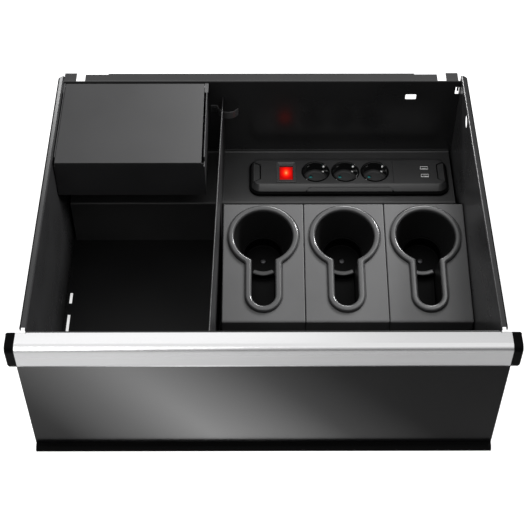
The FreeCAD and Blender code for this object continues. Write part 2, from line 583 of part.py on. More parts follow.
def make_strip_cover():
    """Bevelled cover with windows for the switch, sockets and charging ports."""
    across = around("strip_x", "strip_length/2")
    along = around(STRIP_Y, "strip_width/2")
    block = box(across, along, ("shelf_top", "strip_top"))
    block = rounded(block, size("strip_corner"), lambda bounds: bounds.ZLength > 1)
    top_z = size("strip_top") - 0.01
    block = rounded(block, size("strip_bevel"), lambda bounds: bounds.ZMin > top_z, "Chamfer")
    hollow = box(around("strip_x", "strip_length/2-strip_bevel-cover_wall"),
                 around(STRIP_Y, "strip_width/2-strip_bevel-cover_wall"),
                 ("shelf_top-1", "strip_top-cover_wall"))
    depth = through("strip_top-cover_wall", "strip_top")
    windows = [rod("Z", "recess_radius+socket_wall+socket_play", (x, STRIP_Y), depth) for x in SOCKETS]
    windows.append(box(around("switch_x", "bezel_width/2-bezel_lap"),
                       around(SWITCH_Y, "bezel_length/2-bezel_end_lap"), depth))
    for side in "-+":
        windows.append(box(around("usb_x", "usb_half+usb_play"),
                           around(STRIP_Y + side + "usb_spread", "usb_end+usb_play"), depth))
        windows.append(box(around("strip_x%s(strip_length/2-groove_inset)" % side, "groove_half_width"),
                           around(STRIP_Y, "groove_half_length"), ("strip_top-groove_depth", "strip_top+1")))
    spots = strip_screw_spots()
    bosses = [rod("Z", "boss_radius", spot, ("shelf_top", "strip_top-cover_wall")) for spot in spots]
    pilots = [rod("Z", "strip_screw_radius", spot, ("shelf_top-1", "strip_top-boss_roof")) for spot in spots]
    node("strip_cover", cut(fuse(cut(block, hollow, *windows), *bosses), *pilots))


def make_strip_base():
    """Tray under the shelf, the screws that hold the cover to it, and the cable gland."""
    spots = strip_screw_spots()
    height = ("base_bottom", "shelf_top")
    outer = box(around("strip_x", "base_length/2"), around(STRIP_Y, "base_width/2"), height)
    inner = box(around("strip_x", "base_length/2-base_wall"), around(STRIP_Y, "base_width/2-base_wall"),
                ("base_bottom+base_wall", "shelf_top+1"))
    posts = [rod("Z", "boss_radius", spot, height) for spot in spots]
    ways = [rod("Z", "strip_screw_radius", spot, through(*height)) for spot in spots]
    gland = ("gland_x", STRIP_Y)
    cable_hole = rod("Z", "gland_neck", gland, through("base_bottom", "base_bottom+base_wall"))
    node("strip_base", cut(fuse(cut(outer, inner), *posts), *ways, cable_hole))
    screws = [screw("Z", spot, "base_bottom", "strip_top-boss_roof-boss_slack", "strip_screw_radius")
              for spot in spots]
    node("strip_screws", group(*screws))
    flange = ("base_bottom-gland_flange", "base_bottom")
    neck = ("base_bottom", "base_bottom+gland_reach")
    collar = fuse(rod("Z", "gland_radius", gland, flange), rod("Z", "gland_neck", gland, neck))
    node("cable_gland", cut(collar, rod("Z", "gland_bore", gland, through(flange[0], neck[1]))))


def diagonal(width, half, low, high, x, start):
    """A bar along the line of a socket's pins. start is where its near side lies across that line."""
    bar = DOCUMENT.addObject("Part::Box", "bar")
    bind(bar, {"Length": "2*(%s)" % half, "Width": width, "Height": "(%s)-(%s)" % (high, low)})
    bar.Placement = FreeCAD.Placement(FreeCAD.Vector(), FreeCAD.Rotation(FreeCAD.Vector(0, 0, 1), -45))
    # the bar's own corner, turned by the same angle, brings its middle onto the socket's axis
    shift_x = "((%s)-(%s))*cos(45deg)" % (start, half)
    shift_y = "((%s)+(%s))*cos(45deg)" % (half, start)
    return place(bar, "%s+%s" % (x, shift_x), "%s+%s" % (STRIP_Y, shift_y), low)


# Signs along X and Y from a socket's middle to the hole over each contact bar
CONTACT_BARS = {"live_bar": ("+", "-"), "neutral_bar": ("-", "+")}
SOCKET_FLOOR = "(strip_top-recess_depth)"
SOCKET_BOTTOM = "(strip_top-recess_depth-socket_floor)"


def pin_spot(x, name):
    x_sign, y_sign = CONTACT_BARS[name]
    return "%s%spin_offset" % (x, x_sign), "%s%spin_offset" % (STRIP_Y, y_sign)


def socket_insert(x):
    """A round recess with two pin holes, two slots for the earth leaves, and the shutter's pivot."""
    centre = (x, STRIP_Y)
    floor = through(SOCKET_BOTTOM, SOCKET_FLOOR)
    outer = "recess_radius+socket_wall"
    cup = fuse(rod("Z", outer, centre, (SOCKET_BOTTOM, "strip_top")),
               rod("Z", outer + "+socket_rim", centre, ("strip_top", "strip_top+socket_lip")))
    recess = rod("Z", "recess_radius", centre, (SOCKET_FLOOR, "strip_top+socket_lip+1"))
    holes = [rod("Z", "pin_hole", pin_spot(x, name), floor) for name in CONTACT_BARS]
    slots = [diagonal("earth_gauge+2*leaf_play", "leaf_width/2+leaf_play", *floor, x, start)
             for start in ("leaf_reach-leaf_play", "-leaf_reach-earth_gauge-leaf_play")]
    pivot = rod("Z", "pivot_radius", centre, ("sleeve_top+spring_gap", SOCKET_BOTTOM))
    return fuse(cut(cup, recess, *holes, *slots), pivot)


def socket_shutter(x):
    """A vane under the pin holes that turns about the insert's pivot."""
    centre = (x, STRIP_Y)
    levels = ("shutter_top-shutter_gauge", "shutter_top")
    vane = diagonal("shutter_width", "shutter_half", *levels, x, "-shutter_width/2")
    hub = rod("Z", "hub_radius", centre, levels)
    return cut(fuse(vane, hub), rod("Z", "pivot_radius+pivot_play", centre, through(*levels)))


def make_sockets():
    """Socket inserts with turning shutters, and the contact bars and earth clips below them."""
    springs = []
    leaves = []
    for index, x in enumerate(SOCKETS, start=1):
        node("socket_%d" % index, socket_insert(x))
        node("socket_shutter_%d" % index, socket_shutter(x))
        span = ("sleeve_top+spring_gap", "shutter_top-shutter_gauge-spring_gap")
        springs.append(cut(rod("Z", "spring_radius", (x, STRIP_Y), span),
                           rod("Z", "pivot_radius", (x, STRIP_Y), span)))
        height = ("earth_bottom+earth_gauge", "strip_top-leaf_drop")
        leaves += [diagonal("earth_gauge", "leaf_width/2", *height, x, start)
                   for start in ("leaf_reach", "-leaf_reach-earth_gauge")]
    node("shutter_springs", group(*springs))
    node("earth_clips", group(*leaves))
    run = (SOCKETS[0] + "-bar_overrun", SOCKETS[-1] + "+bar_overrun")
    node("earth_plate", box(run, around(STRIP_Y, "earth_half"), ("earth_bottom", "earth_bottom+earth_gauge")))
    bar_top = "bar_bottom+bar_gauge"
    for name in CONTACT_BARS:
        spots = [pin_spot(x, name) for x in SOCKETS]
        strip = box(run, around(spots[0][1], "bar_width/2"), ("bar_bottom", bar_top))
        sleeves = [cut(rod("Z", "sleeve_radius", spot, (bar_top, "sleeve_top")),
                       rod("Z", "sleeve_bore", spot, through(bar_top, "sleeve_top"))) for spot in spots]
        node(name, fuse(strip, *sleeves))


def make_switch():
    """Rocker switch: bezel, body with blades, and the rocker on its trunnions."""
    rim = box(around("switch_x", "bezel_width/2"), around(SWITCH_Y, "bezel_length/2"),
              ("strip_top", "strip_top+bezel_height"))
    rim = rounded(rim, size("bezel_corner"), lambda bounds: bounds.ZLength > size("bezel_height") - 0.1)
    skirt = box(around("switch_x", "bezel_width/2-bezel_lap-bezel_play"),
                around(SWITCH_Y, "bezel_length/2-bezel_end_lap-bezel_play"),
                ("strip_top-bezel_skirt", "strip_top"))
    opening = box(around("switch_x", "rocker_width/2+rocker_side_play"),
                  around(SWITCH_Y, "rocker_length/2+rocker_end_play"),
                  through("strip_top-bezel_skirt", "strip_top+bezel_height"))
    bearing = rod("X", "trunnion_radius+trunnion_play", (SWITCH_Y, "rocker_axis"),
                  around("switch_x", "rocker_width/2+bearing_reach"))
    node("switch_bezel", cut(fuse(rim, skirt), opening, bearing))

    case = box(around("switch_x", "case_half"), around(SWITCH_Y, "case_end"),
               ("strip_top-case_depth", "strip_top-bezel_skirt"))
    hollow = box(around("switch_x", "hollow_half"), around(SWITCH_Y, "hollow_end"),
                 ("strip_top-hollow_depth", "strip_top-bezel_skirt+1"))
    node("switch_body", cut(case, hollow))
    blades = [box(around("switch_x", "blade_half"),
                  around("%s%+d*blade_pitch" % (SWITCH_Y, step), "blade_gauge/2"),
                  ("strip_top-case_depth-blade_length", "strip_top-case_depth")) for step in (-1, 0, 1)]
    node("switch_blades", group(*blades))

    length = "rocker_length"
    high = "rocker_height+rocker_length/2*tan(rocker_tilt*1deg)"
    points = [(0, "rocker_shoulder"), (length + "/2-rocker_foot", 0), (length + "/2+rocker_foot", 0),
              (length, "rocker_shoulder"), (length, high), (length + "/2", "rocker_height"), (0, high)]
    rocker = profile("rocker", points, "rocker_width")
    place(rocker, "-rocker_width/2", "-rocker_length/2", "-rocker_sink")
    trunnions = rod("X", "trunnion_radius", (0, 0), around(0, "rocker_width/2+trunnion_reach"))
    whole = fuse(rocker, trunnions)
    whole.Placement = FreeCAD.Placement(FreeCAD.Vector(), FreeCAD.Rotation(FreeCAD.Vector(1, 0, 0), 1))
    bind(whole, {"Placement.Rotation.Angle": "rocker_tilt"})
    node("switch_rocker", place(whole, "switch_x", SWITCH_Y, "rocker_axis"))


def make_usb():
    """Charger board with two upright ports."""
    board_top = "(strip_top-usb_depth)"
    node("usb_board", box(("usb_x-board_left", "usb_x+board_right"), around(STRIP_Y, "board_half"),
                          (board_top + "-board_gauge", board_top)))
    for side, name in (("-", "usb_port_front"), ("+", "usb_port_rear")):
        y = STRIP_Y + side + "usb_spread"
        floor = board_top + "+usb_floor"
        shell = box(around("usb_x", "usb_half"), around(y, "usb_end"), (board_top, "strip_top+usb_proud"))
        mouth = box(around("usb_x", "usb_half-usb_wall"), around(y, "usb_end-usb_wall"),
                    (floor, "strip_top+1"))
        tongue = box(around("usb_x", "tongue_half"), (y + "+tongue_near", y + "+tongue_far"),
                     (floor + "-1", "strip_top-tongue_drop"))
        node(name, fuse(cut(shell, mouth), tongue))


def write_parts():
    """Stops at the first failed object or bad shape, then writes one file per sub-part."""
    DOCUMENT.recompute()
    for item in DOCUMENT.Objects:
        if {"Invalid", "Error"} & set(item.State):
            raise RuntimeError("%s failed: %s" % (item.Name, item.State))
    for name, item in NODES.items():
        if item.Shape.isNull() or not item.Shape.isValid() or not item.Shape.Solids:
            raise RuntimeError("%s has no valid solid" % name)
    os.makedirs("parts", exist_ok=True)
    for name, item in NODES.items():
        item.Shape.exportStep(os.path.join("parts", name + ".step"))
        print("%-22s %2d solids  %10.1f mm3" % (name, len(item.Shape.Solids), item.Shape.Volume))


fill_sheet()
make_side_walls()
make_back_wall()
make_inner_front_and_floor()
make_front_panel()
make_handle()
make_shelf()
make_divider()
make_cable_clip()
make_cable_box()
make_holders()
make_strip_cover()
make_strip_base()
make_sockets()
make_switch()
make_usb()
write_parts()
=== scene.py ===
import bmesh
import bpy
import math
from mathutils import Matrix, Vector


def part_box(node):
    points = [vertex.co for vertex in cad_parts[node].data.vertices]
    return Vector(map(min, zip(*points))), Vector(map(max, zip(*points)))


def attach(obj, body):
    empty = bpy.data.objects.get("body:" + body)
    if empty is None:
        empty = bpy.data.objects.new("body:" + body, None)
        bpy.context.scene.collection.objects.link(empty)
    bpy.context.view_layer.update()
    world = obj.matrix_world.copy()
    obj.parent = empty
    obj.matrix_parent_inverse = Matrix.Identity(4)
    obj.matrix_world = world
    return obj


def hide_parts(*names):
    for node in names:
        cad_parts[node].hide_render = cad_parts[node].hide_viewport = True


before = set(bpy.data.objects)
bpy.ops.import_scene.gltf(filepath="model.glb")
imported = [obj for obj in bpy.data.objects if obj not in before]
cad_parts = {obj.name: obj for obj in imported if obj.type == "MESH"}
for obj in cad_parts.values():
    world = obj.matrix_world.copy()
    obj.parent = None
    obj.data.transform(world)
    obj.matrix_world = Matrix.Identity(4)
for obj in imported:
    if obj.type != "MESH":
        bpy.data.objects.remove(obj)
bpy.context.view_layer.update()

# Sizes below are in millimetres and angles in degrees. Places come from the CAD parts.
MM = 0.001
SHEET = 1.2
BEND = 2.0
BEND_STEPS = 6
EDGE_STEPS = 4
ROUND_STEPS = 56
SMOOTH_ANGLE = 38
PLANES = {"X": lambda a, b, along: (along, a, b), "Y": lambda a, b, along: (a, along, b),
          "Z": lambda a, b, along: (a, b, along)}


def corners(node):
    """Lowest and highest corner of a CAD node in millimetres."""
    low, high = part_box(node)
    return low / MM, high / MM


def bend(points, radius, steps=BEND_STEPS):
    """Straight runs between the points, with a round bend at each inner one."""
    line = [Vector(points[0])]
    for before, corner, after in zip(points, points[1:], points[2:]):
        corner = Vector(corner)
        into = (corner - Vector(before)).normalized()
        out = (Vector(after) - corner).normalized()
        turn = math.atan2(into.x * out.y - into.y * out.x, into.dot(out))
        if radius == 0 or abs(turn) < 0.001:
            line.append(corner)
            continue
        side = math.copysign(radius, turn)
        hub = corner - into * radius * math.tan(abs(turn) / 2) + Vector((-into.y, into.x)) * side
        spoke = Vector((into.y, -into.x)) * side
        line += [hub + Matrix.Rotation(turn * step / steps, 2) @ spoke for step in range(steps + 1)]
    line.append(Vector(points[-1]))
    return line


def polygon(points, radius, steps=BEND_STEPS):
    """A closed outline with rounded corners. radius is one size, or a list of one for each corner."""
    count = len(points)
    radii = radius if isinstance(radius, list) else [radius] * count
    outline = []
    for index, size in enumerate(radii):
        outline += bend([points[index - 1], points[index], points[(index + 1) % count]], size, steps)[1:-1]
    return outline


def rectangle(low_a, high_a, low_b, high_b, radius=0, steps=BEND_STEPS):
    return polygon([(low_a, low_b), (high_a, low_b), (high_a, high_b), (low_a, high_b)], radius, steps)


def circle(radius, centre=(0, 0), count=ROUND_STEPS):
    turns = [2 * math.pi * step / count for step in range(count)]
    return [Vector((centre[0] + radius * math.cos(t), centre[1] + radius * math.sin(t))) for t in turns]


def arc(centre, radius, start, stop, steps):
    """Points along an arc, with its angles in radians."""
    turns = [start + (stop - start) * step / steps for step in range(steps + 1)]
    return [Vector((centre[0] + radius * math.cos(t), centre[1] + radius * math.sin(t))) for t in turns]


def ribbon(line, gauge):
    """Outline of a sheet seen edge on, whose middle follows the line."""
    left = []
    right = []
    last = len(line) - 1
    for index, point in enumerate(line):
        run = (line[min(index + 1, last)] - line[max(index - 1, 0)]).normalized()
        offset = Vector((-run.y, run.x)) * gauge / 2
        left.append(point + offset)
        right.append(point - offset)
    return right + left[::-1]


def shrink(outline, inset):
    """The outline moved inwards all round."""
    if inset == 0:
        return outline
    moved = []
    for index, point in enumerate(outline):
        into = (point - outline[index - 1]).normalized()
        out = (outline[(index + 1) % len(outline)] - point).normalized()
        first = Vector((-into.y, into.x))
        second = Vector((-out.y, out.x))
        moved.append(point + (first + second) * inset / (1 + first.dot(second)))
    return moved


def quarter(edge, steps=EDGE_STEPS):
    """Inset and drop along a rounded edge, from its side to its top."""
    turns = [math.pi / 2 * step / steps for step in range(steps + 1)]
    return [(edge * (1 - math.cos(t)), edge * (1 - math.sin(t))) for t in turns] if edge else [(0, 0)]


def prism(outline, axis, low, high, low_edge=0, high_edge=0):
    """Rings of a bar along an axis, its end faces rounded over at their edges."""
    stages = [(inset, low + drop) for inset, drop in quarter(low_edge)[::-1]]
    stages += [(inset, high - drop) for inset, drop in quarter(high_edge)]
    return [[PLANES[axis](*point, along) for point in shrink(outline, inset)] for inset, along in stages]


def block(x, y, z):
    """Rings of a plain block between pairs of low and high values."""
    return prism(rectangle(*sorted(x), *sorted(y)), "Z", *z)


def lathe(contour, axis="Z", centre=(0, 0), count=ROUND_STEPS):
    """Rings of a turned shape. The contour holds pairs of radius and place along the axis."""
    return [[PLANES[axis](*point, along) for point in circle(radius, centre, count)]
            for radius, along in contour]


def add_loft(mesh, rings, caps=True, loop=False):
    """Joins rings of points with quads, and closes both ends or joins the last ring to the first."""
    rows = [[mesh.verts.new(point) for point in ring] for ring in rings]
    pairs = list(zip(rows, rows[1:])) + ([(rows[-1], rows[0])] if loop else [])
    for near, far in pairs:
        for index in range(len(near)):
            following = (index + 1) % len(near)
            mesh.faces.new((near[index], near[following], far[following], far[index]))
    if caps and not loop:
        mesh.faces.new(rows[0][::-1])
        mesh.faces.new(rows[-1])
    return rows


def to_object(name, mesh, placing=None):
    """Turns a mesh in millimetres into an object in metres."""
    if placing:
        mesh.transform(placing)
    mesh.transform(Matrix.Scale(MM, 4))
    data = bpy.data.meshes.new(name)
    mesh.to_mesh(data)
    mesh.free()
    item = bpy.data.objects.new(name, data)
    bpy.context.scene.collection.objects.link(item)
    return item


def solid(name, *lofts, placing=None, loop=False):
    """An object made of one or more closed lofts."""
    mesh = bmesh.new()
    for rings in lofts:
        add_loft(mesh, rings, loop=loop)
    bmesh.ops.recalc_face_normals(mesh, faces=mesh.faces)
    return to_object(name, mesh, placing)


def bake(item):
    """Makes the result of an object's modifiers its mesh."""
    bpy.context.view_layer.update()
    graph = bpy.context.evaluated_depsgraph_get()
    before = item.data
    item.data = bpy.data.meshes.new_from_object(item.evaluated_get(graph))
    item.modifiers.clear()
    bpy.data.meshes.remove(before)


def carve(item, *lofts, placing=None):
    """Cuts closed lofts out of an object."""
    cutters = [solid("cutter", rings, placing=placing) for rings in lofts]
    for cutter in cutters:
        opened = item.modifiers.new("opening", "BOOLEAN")
        opened.operation = "DIFFERENCE"
        opened.solver = "EXACT"
        opened.object = cutter
    bake(item)
    for cutter in cutters:
        bpy.data.objects.remove(cutter)
    return item


def add_bevel(item, edge):
    rounding = item.modifiers.new("edges", "BEVEL")
    rounding.width = edge * MM
    rounding.segments = 2
    rounding.limit_method = "ANGLE"
    rounding.angle_limit = math.radians(SMOOTH_ANGLE)
    rounding.miter_outer = "MITER_ARC"
    return rounding


def add_flat_shading(item):
    """Keeps flat faces flat beside rounded edges."""
    shading = item.modifiers.new("shading", "WEIGHTED_NORMAL")
    shading.keep_sharp = True
    shading.weight = 60


def dress(item, finish, slot, *nodes, body="drawer", edge=0):
    """Finishes a piece, and lets it stand for the given CAD nodes."""
    if edge:
        add_bevel(item, edge)
        bake(item)
    item.data.materials.clear()
    item.data.materials.append(finish)
    item.data.shade_smooth()
    item.data.set_sharp_from_angle(angle=math.radians(SMOOTH_ANGLE))
    add_flat_shading(item)
    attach(item, body)
    if nodes:
        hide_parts(*nodes)
    return item


def soften(node, finish, edge=0.35):
    """Gives a CAD node a finish and slightly rounded edges."""
    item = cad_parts[node]
    item.data.materials.clear()
    item.data.materials.append(finish)
    item.modifiers.new("joined", "WELD").merge_threshold = 0.00001
    flat = item.modifiers.new("flat", "DECIMATE")
    flat.decimate_type = "DISSOLVE"
    flat.angle_limit = math.radians(0.5)
    add_bevel(item, edge)
    add_flat_shading(item)


def link_noise(tree, place, scale, detail):
    noise = tree.nodes.new("ShaderNodeTexNoise")
    noise.inputs["Scale"].default_value = scale
    noise.inputs["Detail"].default_value = detail
    tree.links.new(place, noise.inputs["Vector"])
    return noise.outputs["Fac"]


def look(name, colour, roughness, metallic=0, shade=0.12, swing=0.05, patch=14, grain=1500, relief=0.08,
         stretch=(1, 1, 1), specular=0.5):
    """A finish whose tone and gloss change slowly over it, with a fine grain. patch and grain are per metre."""
    finish = bpy.data.materials.new(name)
    finish.use_nodes = True
    tree = finish.node_tree
    shader = tree.nodes["Principled BSDF"]
    shader.inputs["Metallic"].default_value = metallic
    shader.inputs["Specular IOR Level"].default_value = specular
    place = tree.nodes.new("ShaderNodeTexCoord")
    spread = tree.nodes.new("ShaderNodeMapping")
    spread.inputs["Scale"].default_value = stretch
    tree.links.new(place.outputs["Object"], spread.inputs["Vector"])
    clouds = link_noise(tree, spread.outputs["Vector"], patch, 4)
    tone = tree.nodes.new("ShaderNodeValToRGB")
    for stop, at, factor in zip(tone.color_ramp.elements, (0.3, 0.7), (1 - shade, 1 + shade)):
        stop.position = at
        stop.color = (*[channel * factor for channel in colour], 1)
    tree.links.new(clouds, tone.inputs["Fac"])
    tree.links.new(tone.outputs["Color"], shader.inputs["Base Color"])
    grains = link_noise(tree, spread.outputs["Vector"], grain, 3)
    gloss = tree.nodes.new("ShaderNodeMapRange")
    gloss.inputs["To Min"].default_value = roughness - swing
    gloss.inputs["To Max"].default_value = roughness + swing
    tree.links.new(clouds, gloss.inputs["Value"])
    tree.links.new(gloss.outputs["Result"], shader.inputs["Roughness"])
    bump = tree.nodes.new("ShaderNodeBump")
    bump.inputs["Strength"].default_value = relief
    bump.inputs["Distance"].default_value = 0.3 * MM
    tree.links.new(grains, bump.inputs["Height"])
    tree.links.new(bump.outputs["Normal"], shader.inputs["Normal"])
    return finish


def make_looks():
    """Every finish by name."""
    looks = {
        "powder": look("powder_coat", (0.019, 0.019, 0.02), 0.46, grain=1700, relief=0.12),
        "shell": look("shell_coat", (0.016, 0.016, 0.0165), 0.28, grain=1700, relief=0.06, specular=0.24),
        # The shelf gets a lighter copy of the black powder coat: painted light
        "shelf": look("shelf_painted_light", (0.034, 0.034, 0.0345), 0.4, grain=1700, relief=0.1),
        # The drawer's floor panel gets a darker copy of the black powder coat: painted shade at the bottom of the
        # drawer
        "pan": look("floor_pan_painted_shade", (0.006, 0.006, 0.0063), 0.5, grain=1700, relief=0.12, specular=0.25),
        "gloss": look("gloss_paint", (0.004, 0.004, 0.0042), 0.2, swing=0.03, grain=260, relief=0.02,
                      specular=0.07),
        "aluminium": look("satin_aluminium", (0.545, 0.545, 0.55), 0.27, metallic=1, shade=0.03, grain=2600,
                          relief=0.03, stretch=(0.012, 1, 1)),
        "cap": look("cap_plastic", (0.002, 0.002, 0.0021), 0.4, grain=1300, relief=0.1, specular=0.03),
        "holder": look("holder_plastic", (0.045, 0.045, 0.046), 0.5, grain=1500, relief=0.16),
        "rim": look("rim_plastic", (0.045, 0.045, 0.046), 0.22, grain=1500, relief=0.08),
        # The cup's inside gets darker copies of the holder plastic, darkest in its well: painted shade down in the
        # cup. The bowl's dark copy also lines the charging ports.
        "bowl": look("painted_shade_dark_plastic", (0.01, 0.01, 0.0102), 0.4, grain=1300, relief=0.06, specular=0.3),
        "well": look("well_painted_shade", (0.0008, 0.0008, 0.0009), 0.42, grain=1300, relief=0.06, specular=0.07),
        "clip": look("clip_plastic", (0.06, 0.06, 0.061), 0.26, grain=900, relief=0.03),
        "frame": look("bezel_plastic", (0.055, 0.055, 0.056), 0.27, swing=0.03, grain=500, relief=0.02),
        "tongue": look("tongue_plastic", (0.22, 0.22, 0.22), 0.4, shade=0.05),
        "wall": look("wall_coat", (0.018, 0.018, 0.0185), 0.24, swing=0.03, grain=1700, relief=0.03),
        "screw": look("dark_zinc", (0.1, 0.1, 0.105), 0.5, metallic=1, shade=0.08, patch=300, grain=1800),
        "strip": look("strip_plastic", (0.029, 0.029, 0.0295), 0.36, grain=1400, relief=0.1),
        # Socket floors keep a lighter plastic while the socket walls get a near-black gloss: painted shade in the
        # socket's recess
        "floor": look("floor_plastic", (0.028, 0.028, 0.0285), 0.6, grain=1400, relief=0.1),
        "socket": look("socket_plastic", (0.003, 0.003, 0.0032), 0.16, swing=0.03, grain=500, relief=0.02),
        "teal": look("shutter_plastic", (0.03, 0.38, 0.38), 0.4),
        "brass": look("contact_brass", (0.72, 0.55, 0.28), 0.3, metallic=1, shade=0.06, grain=900),
        # Near-white matte finish on the metal port shells and earth leaves: painted highlight standing in for
        # their shine
        "port": look("white_painted_highlight", (0.92, 0.92, 0.91), 0.36, shade=0.04, grain=900, relief=0.03),
        "zinc": look("zinc_plate", (0.62, 0.63, 0.65), 0.3, metallic=1, shade=0.08, patch=300, grain=1800),
        "board": look("board_resin", (0.02, 0.16, 0.08), 0.45, patch=120),
    }
    looks["red"] = make_lit_red()
    return looks


def make_lit_red():
    """Red rocker plastic with a lamp behind its middle."""
    finish = look("rocker_plastic", (0.3, 0.005, 0.004), 0.5, shade=0.05, relief=0.02, specular=0.02)
    tree = finish.node_tree
    shader = tree.nodes["Principled BSDF"]
    low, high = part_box("switch_rocker")
    place = tree.nodes.new("ShaderNodeTexCoord")
    lamp = tree.nodes.new("ShaderNodeMapping")
    lamp.vector_type = "TEXTURE"
    lamp.inputs["Location"].default_value = ((low.x + high.x) / 2, (low.y + high.y) / 2 + 0.001, high.z - 0.003)
    lamp.inputs["Scale"].default_value = (0.0095, 0.0125, 0.03)
    tree.links.new(place.outputs["Object"], lamp.inputs["Vector"])
    ball = tree.nodes.new("ShaderNodeTexGradient")
    ball.gradient_type = "SPHERICAL"
    tree.links.new(lamp.outputs["Vector"], ball.inputs["Vector"])
    glow = tree.nodes.new("ShaderNodeValToRGB")
    stops = glow.color_ramp.elements
    stops[0].color = (0.3, 0.001, 0.001, 1)
    stops[1].color = (1.0, 0.55, 0.2, 1)
    stops.new(0.2).color = (0.55, 0.002, 0.001, 1)
    stops.new(0.5).color = (0.95, 0.006, 0.002, 1)
    stops.new(0.78).color = (1.0, 0.12, 0.02, 1)
    tree.links.new(ball.outputs["Fac"], glow.inputs["Fac"])
    tree.links.new(glow.outputs["Color"], shader.inputs["Emission Color"])
    shader.inputs["Emission Strength"].default_value = 0.9
    return finish


LOOKS = make_looks()


# Sheet steel shell
FLANGE_LIP = 7
FLANGE_GAP = 4.5
# Width of the flange's outer bend that gets the near-black cap finish, as painted shade
PAINTED_SHADE_EDGE = 2.2
MITRE = 5.5
WALL_HOLE, HOLE_DEPTH, HOLE_DROP = 9.5, 385, 14.5


def make_side_wall(node, side):
    """Side wall bent outwards along its top into a flange with a lip."""
    low, high = corners(node)
    inner, outer = sorted((abs(low.x), abs(high.x)))
    web = inner + SHEET / 2
    rim = outer - SHEET / 2
    line = bend([(web, low.z), (web, high.z - SHEET / 2), (rim, high.z - SHEET / 2),
                 (rim, high.z - FLANGE_LIP)], BEND)
    outline = [Vector((side * point.x, point.y)) for point in ribbon(line, SHEET)]
    wall = solid("wall_" + node.split("_")[-1], prism(outline, "Y", low.y, high.y))
    flange = (high.z - FLANGE_LIP - 1, high.z + 1)
    outside = (side * (inner + SHEET + 0.4), side * (outer + 1))
    corner = [(outside[0], high.y + 1), (outside[1], high.y + 1), (outside[1], high.y - MITRE)]
    carve(wall, block(outside, (low.y - 1, low.y + FLANGE_GAP), flange),
          prism([Vector(point) for point in corner], "Z", *flange))
    if side > 0:
        hole = [(WALL_HOLE, inner - 1), (WALL_HOLE, inner + SHEET + 1)]
        carve(wall, lathe(hole, "X", (low.y + HOLE_DEPTH, high.z - HOLE_DROP)))
    dress(wall, LOOKS["shell"], "powder_black", node, edge=0.25)
    # The flange's outer bend takes the near-black cap finish: painted shade where the bend faces away from the
    # light
    wall.data.materials.append(LOOKS["cap"])
    for face in wall.data.polygons:
        if abs(face.center.x) > (outer - PAINTED_SHADE_EDGE) * MM:
            face.material_index = 1


def make_back_wall():
    """Back wall with a stepped flange, end tabs, a cable slot and hook holes."""
    low, high = corners("back_wall")
    web = low.y + SHEET / 2
    line = bend([(web, low.z), (web, high.z - SHEET / 2), (high.y, high.z - SHEET / 2)], BEND)
    wall = solid("wall_back", prism(ribbon(line, SHEET), "X", low.x, high.x))
    reach = high.y - low.y
    tab_in, tab_out, shoulder, half, shift = 271, 288.5, 258, 224.5, 2.2
    above = (high.z - 6, high.z + 1)
    depth = (low.y - 1, low.y + SHEET + 1)
    cuts = [block((-half - shift, half - shift), (low.y + reach - 1, high.y + 1), above)]
    for side in (-1, 1):
        steps = ((half - 0.01, shoulder + 1, reach - 3), (shoulder, tab_in, SHEET), (tab_out, high.x + 9, SHEET))
        for near, far, start in steps:
            cuts.append(block((side * near - shift, side * far - shift), (low.y + start, high.y + 1), above))
        left, right = sorted((side * 283.5, side * 290))
        hook = [(left, 210.6), (right, 210.6), (right, 224.3), (right - 2, 224.3), (right - 2, 216.6),
                (left + 2, 216.6), (left + 2, 224.3), (left, 224.3)]
        cuts.append(prism(polygon(hook, 0.5, 2), "Y", *depth))
    cuts.append(prism(rectangle(211, 227, 200, 210, 1.5), "Y", *depth))
    carve(wall, *cuts)
    dress(wall, LOOKS["wall"], "powder_black", "back_wall", edge=0.25)


COVE = 4


def make_shelf():
    """Rear shelf with its riser, turned up in a cove along the back wall."""
    low, high = corners("rear_shelf")
    base_low, base_high = corners("strip_base")
    middle = high.z - SHEET / 2
    line = bend([(low.y + SHEET / 2, low.z), (low.y + SHEET / 2, middle), (high.y - SHEET / 2, middle),
                 (high.y - SHEET / 2, middle + COVE + 1)], COVE - 1)
    shelf = solid("shelf_sheet", prism(ribbon(line, SHEET), "X", low.x, high.x))
    carve(shelf, block((base_low.x - 0.4, base_high.x + 0.4), (base_low.y - 0.4, base_high.y + 0.4),
                       (high.z - 3, high.z + 3)))
    dress(shelf, LOOKS["shelf"], "powder_black", "rear_shelf", edge=0.25)


# Handle
RAIL_NOSE = 9


def make_handle():
    """Handle rail with a round nose, and its two end caps."""
    low, high = corners("handle_rail")
    panel_low, panel_high = corners("front_panel")
    tuck = panel_low.y - 1
    ledge = panel_high.z + 1
    points = [(high.y, high.z), (low.y, high.z), (low.y, low.z + 6), (low.y + 3, low.z), (tuck, low.z),
              (tuck, ledge), (high.y, ledge)]
    outline = polygon(points, [0.8, RAIL_NOSE, 4, 1.2, 0.5, 0.5, 0.8], 10)
    rail = solid("rail", prism(outline, "X", low.x, high.x, 0.3, 0.3))
    dress(rail, LOOKS["aluminium"], "rail_aluminium", "handle_rail")
    for side, name in ((-1, "left"), (1, "right")):
        cap_low, cap_high = corners("handle_cap_" + name)
        spans = (cap_low.x, low.x, 2.6, 0.3) if side < 0 else (high.x, cap_high.x, 0.3, 2.6)
        cap = solid("rail_cap_" + name, prism(outline, "X", *spans))
        dress(cap, LOOKS["cap"], "black_plastic", "handle_cap_" + name)


# Tool holders
HOLDER_TILT = math.radians(10.66)
MOUTH_BACK = 55
SLOT_RUN = 96
PLATE = 3


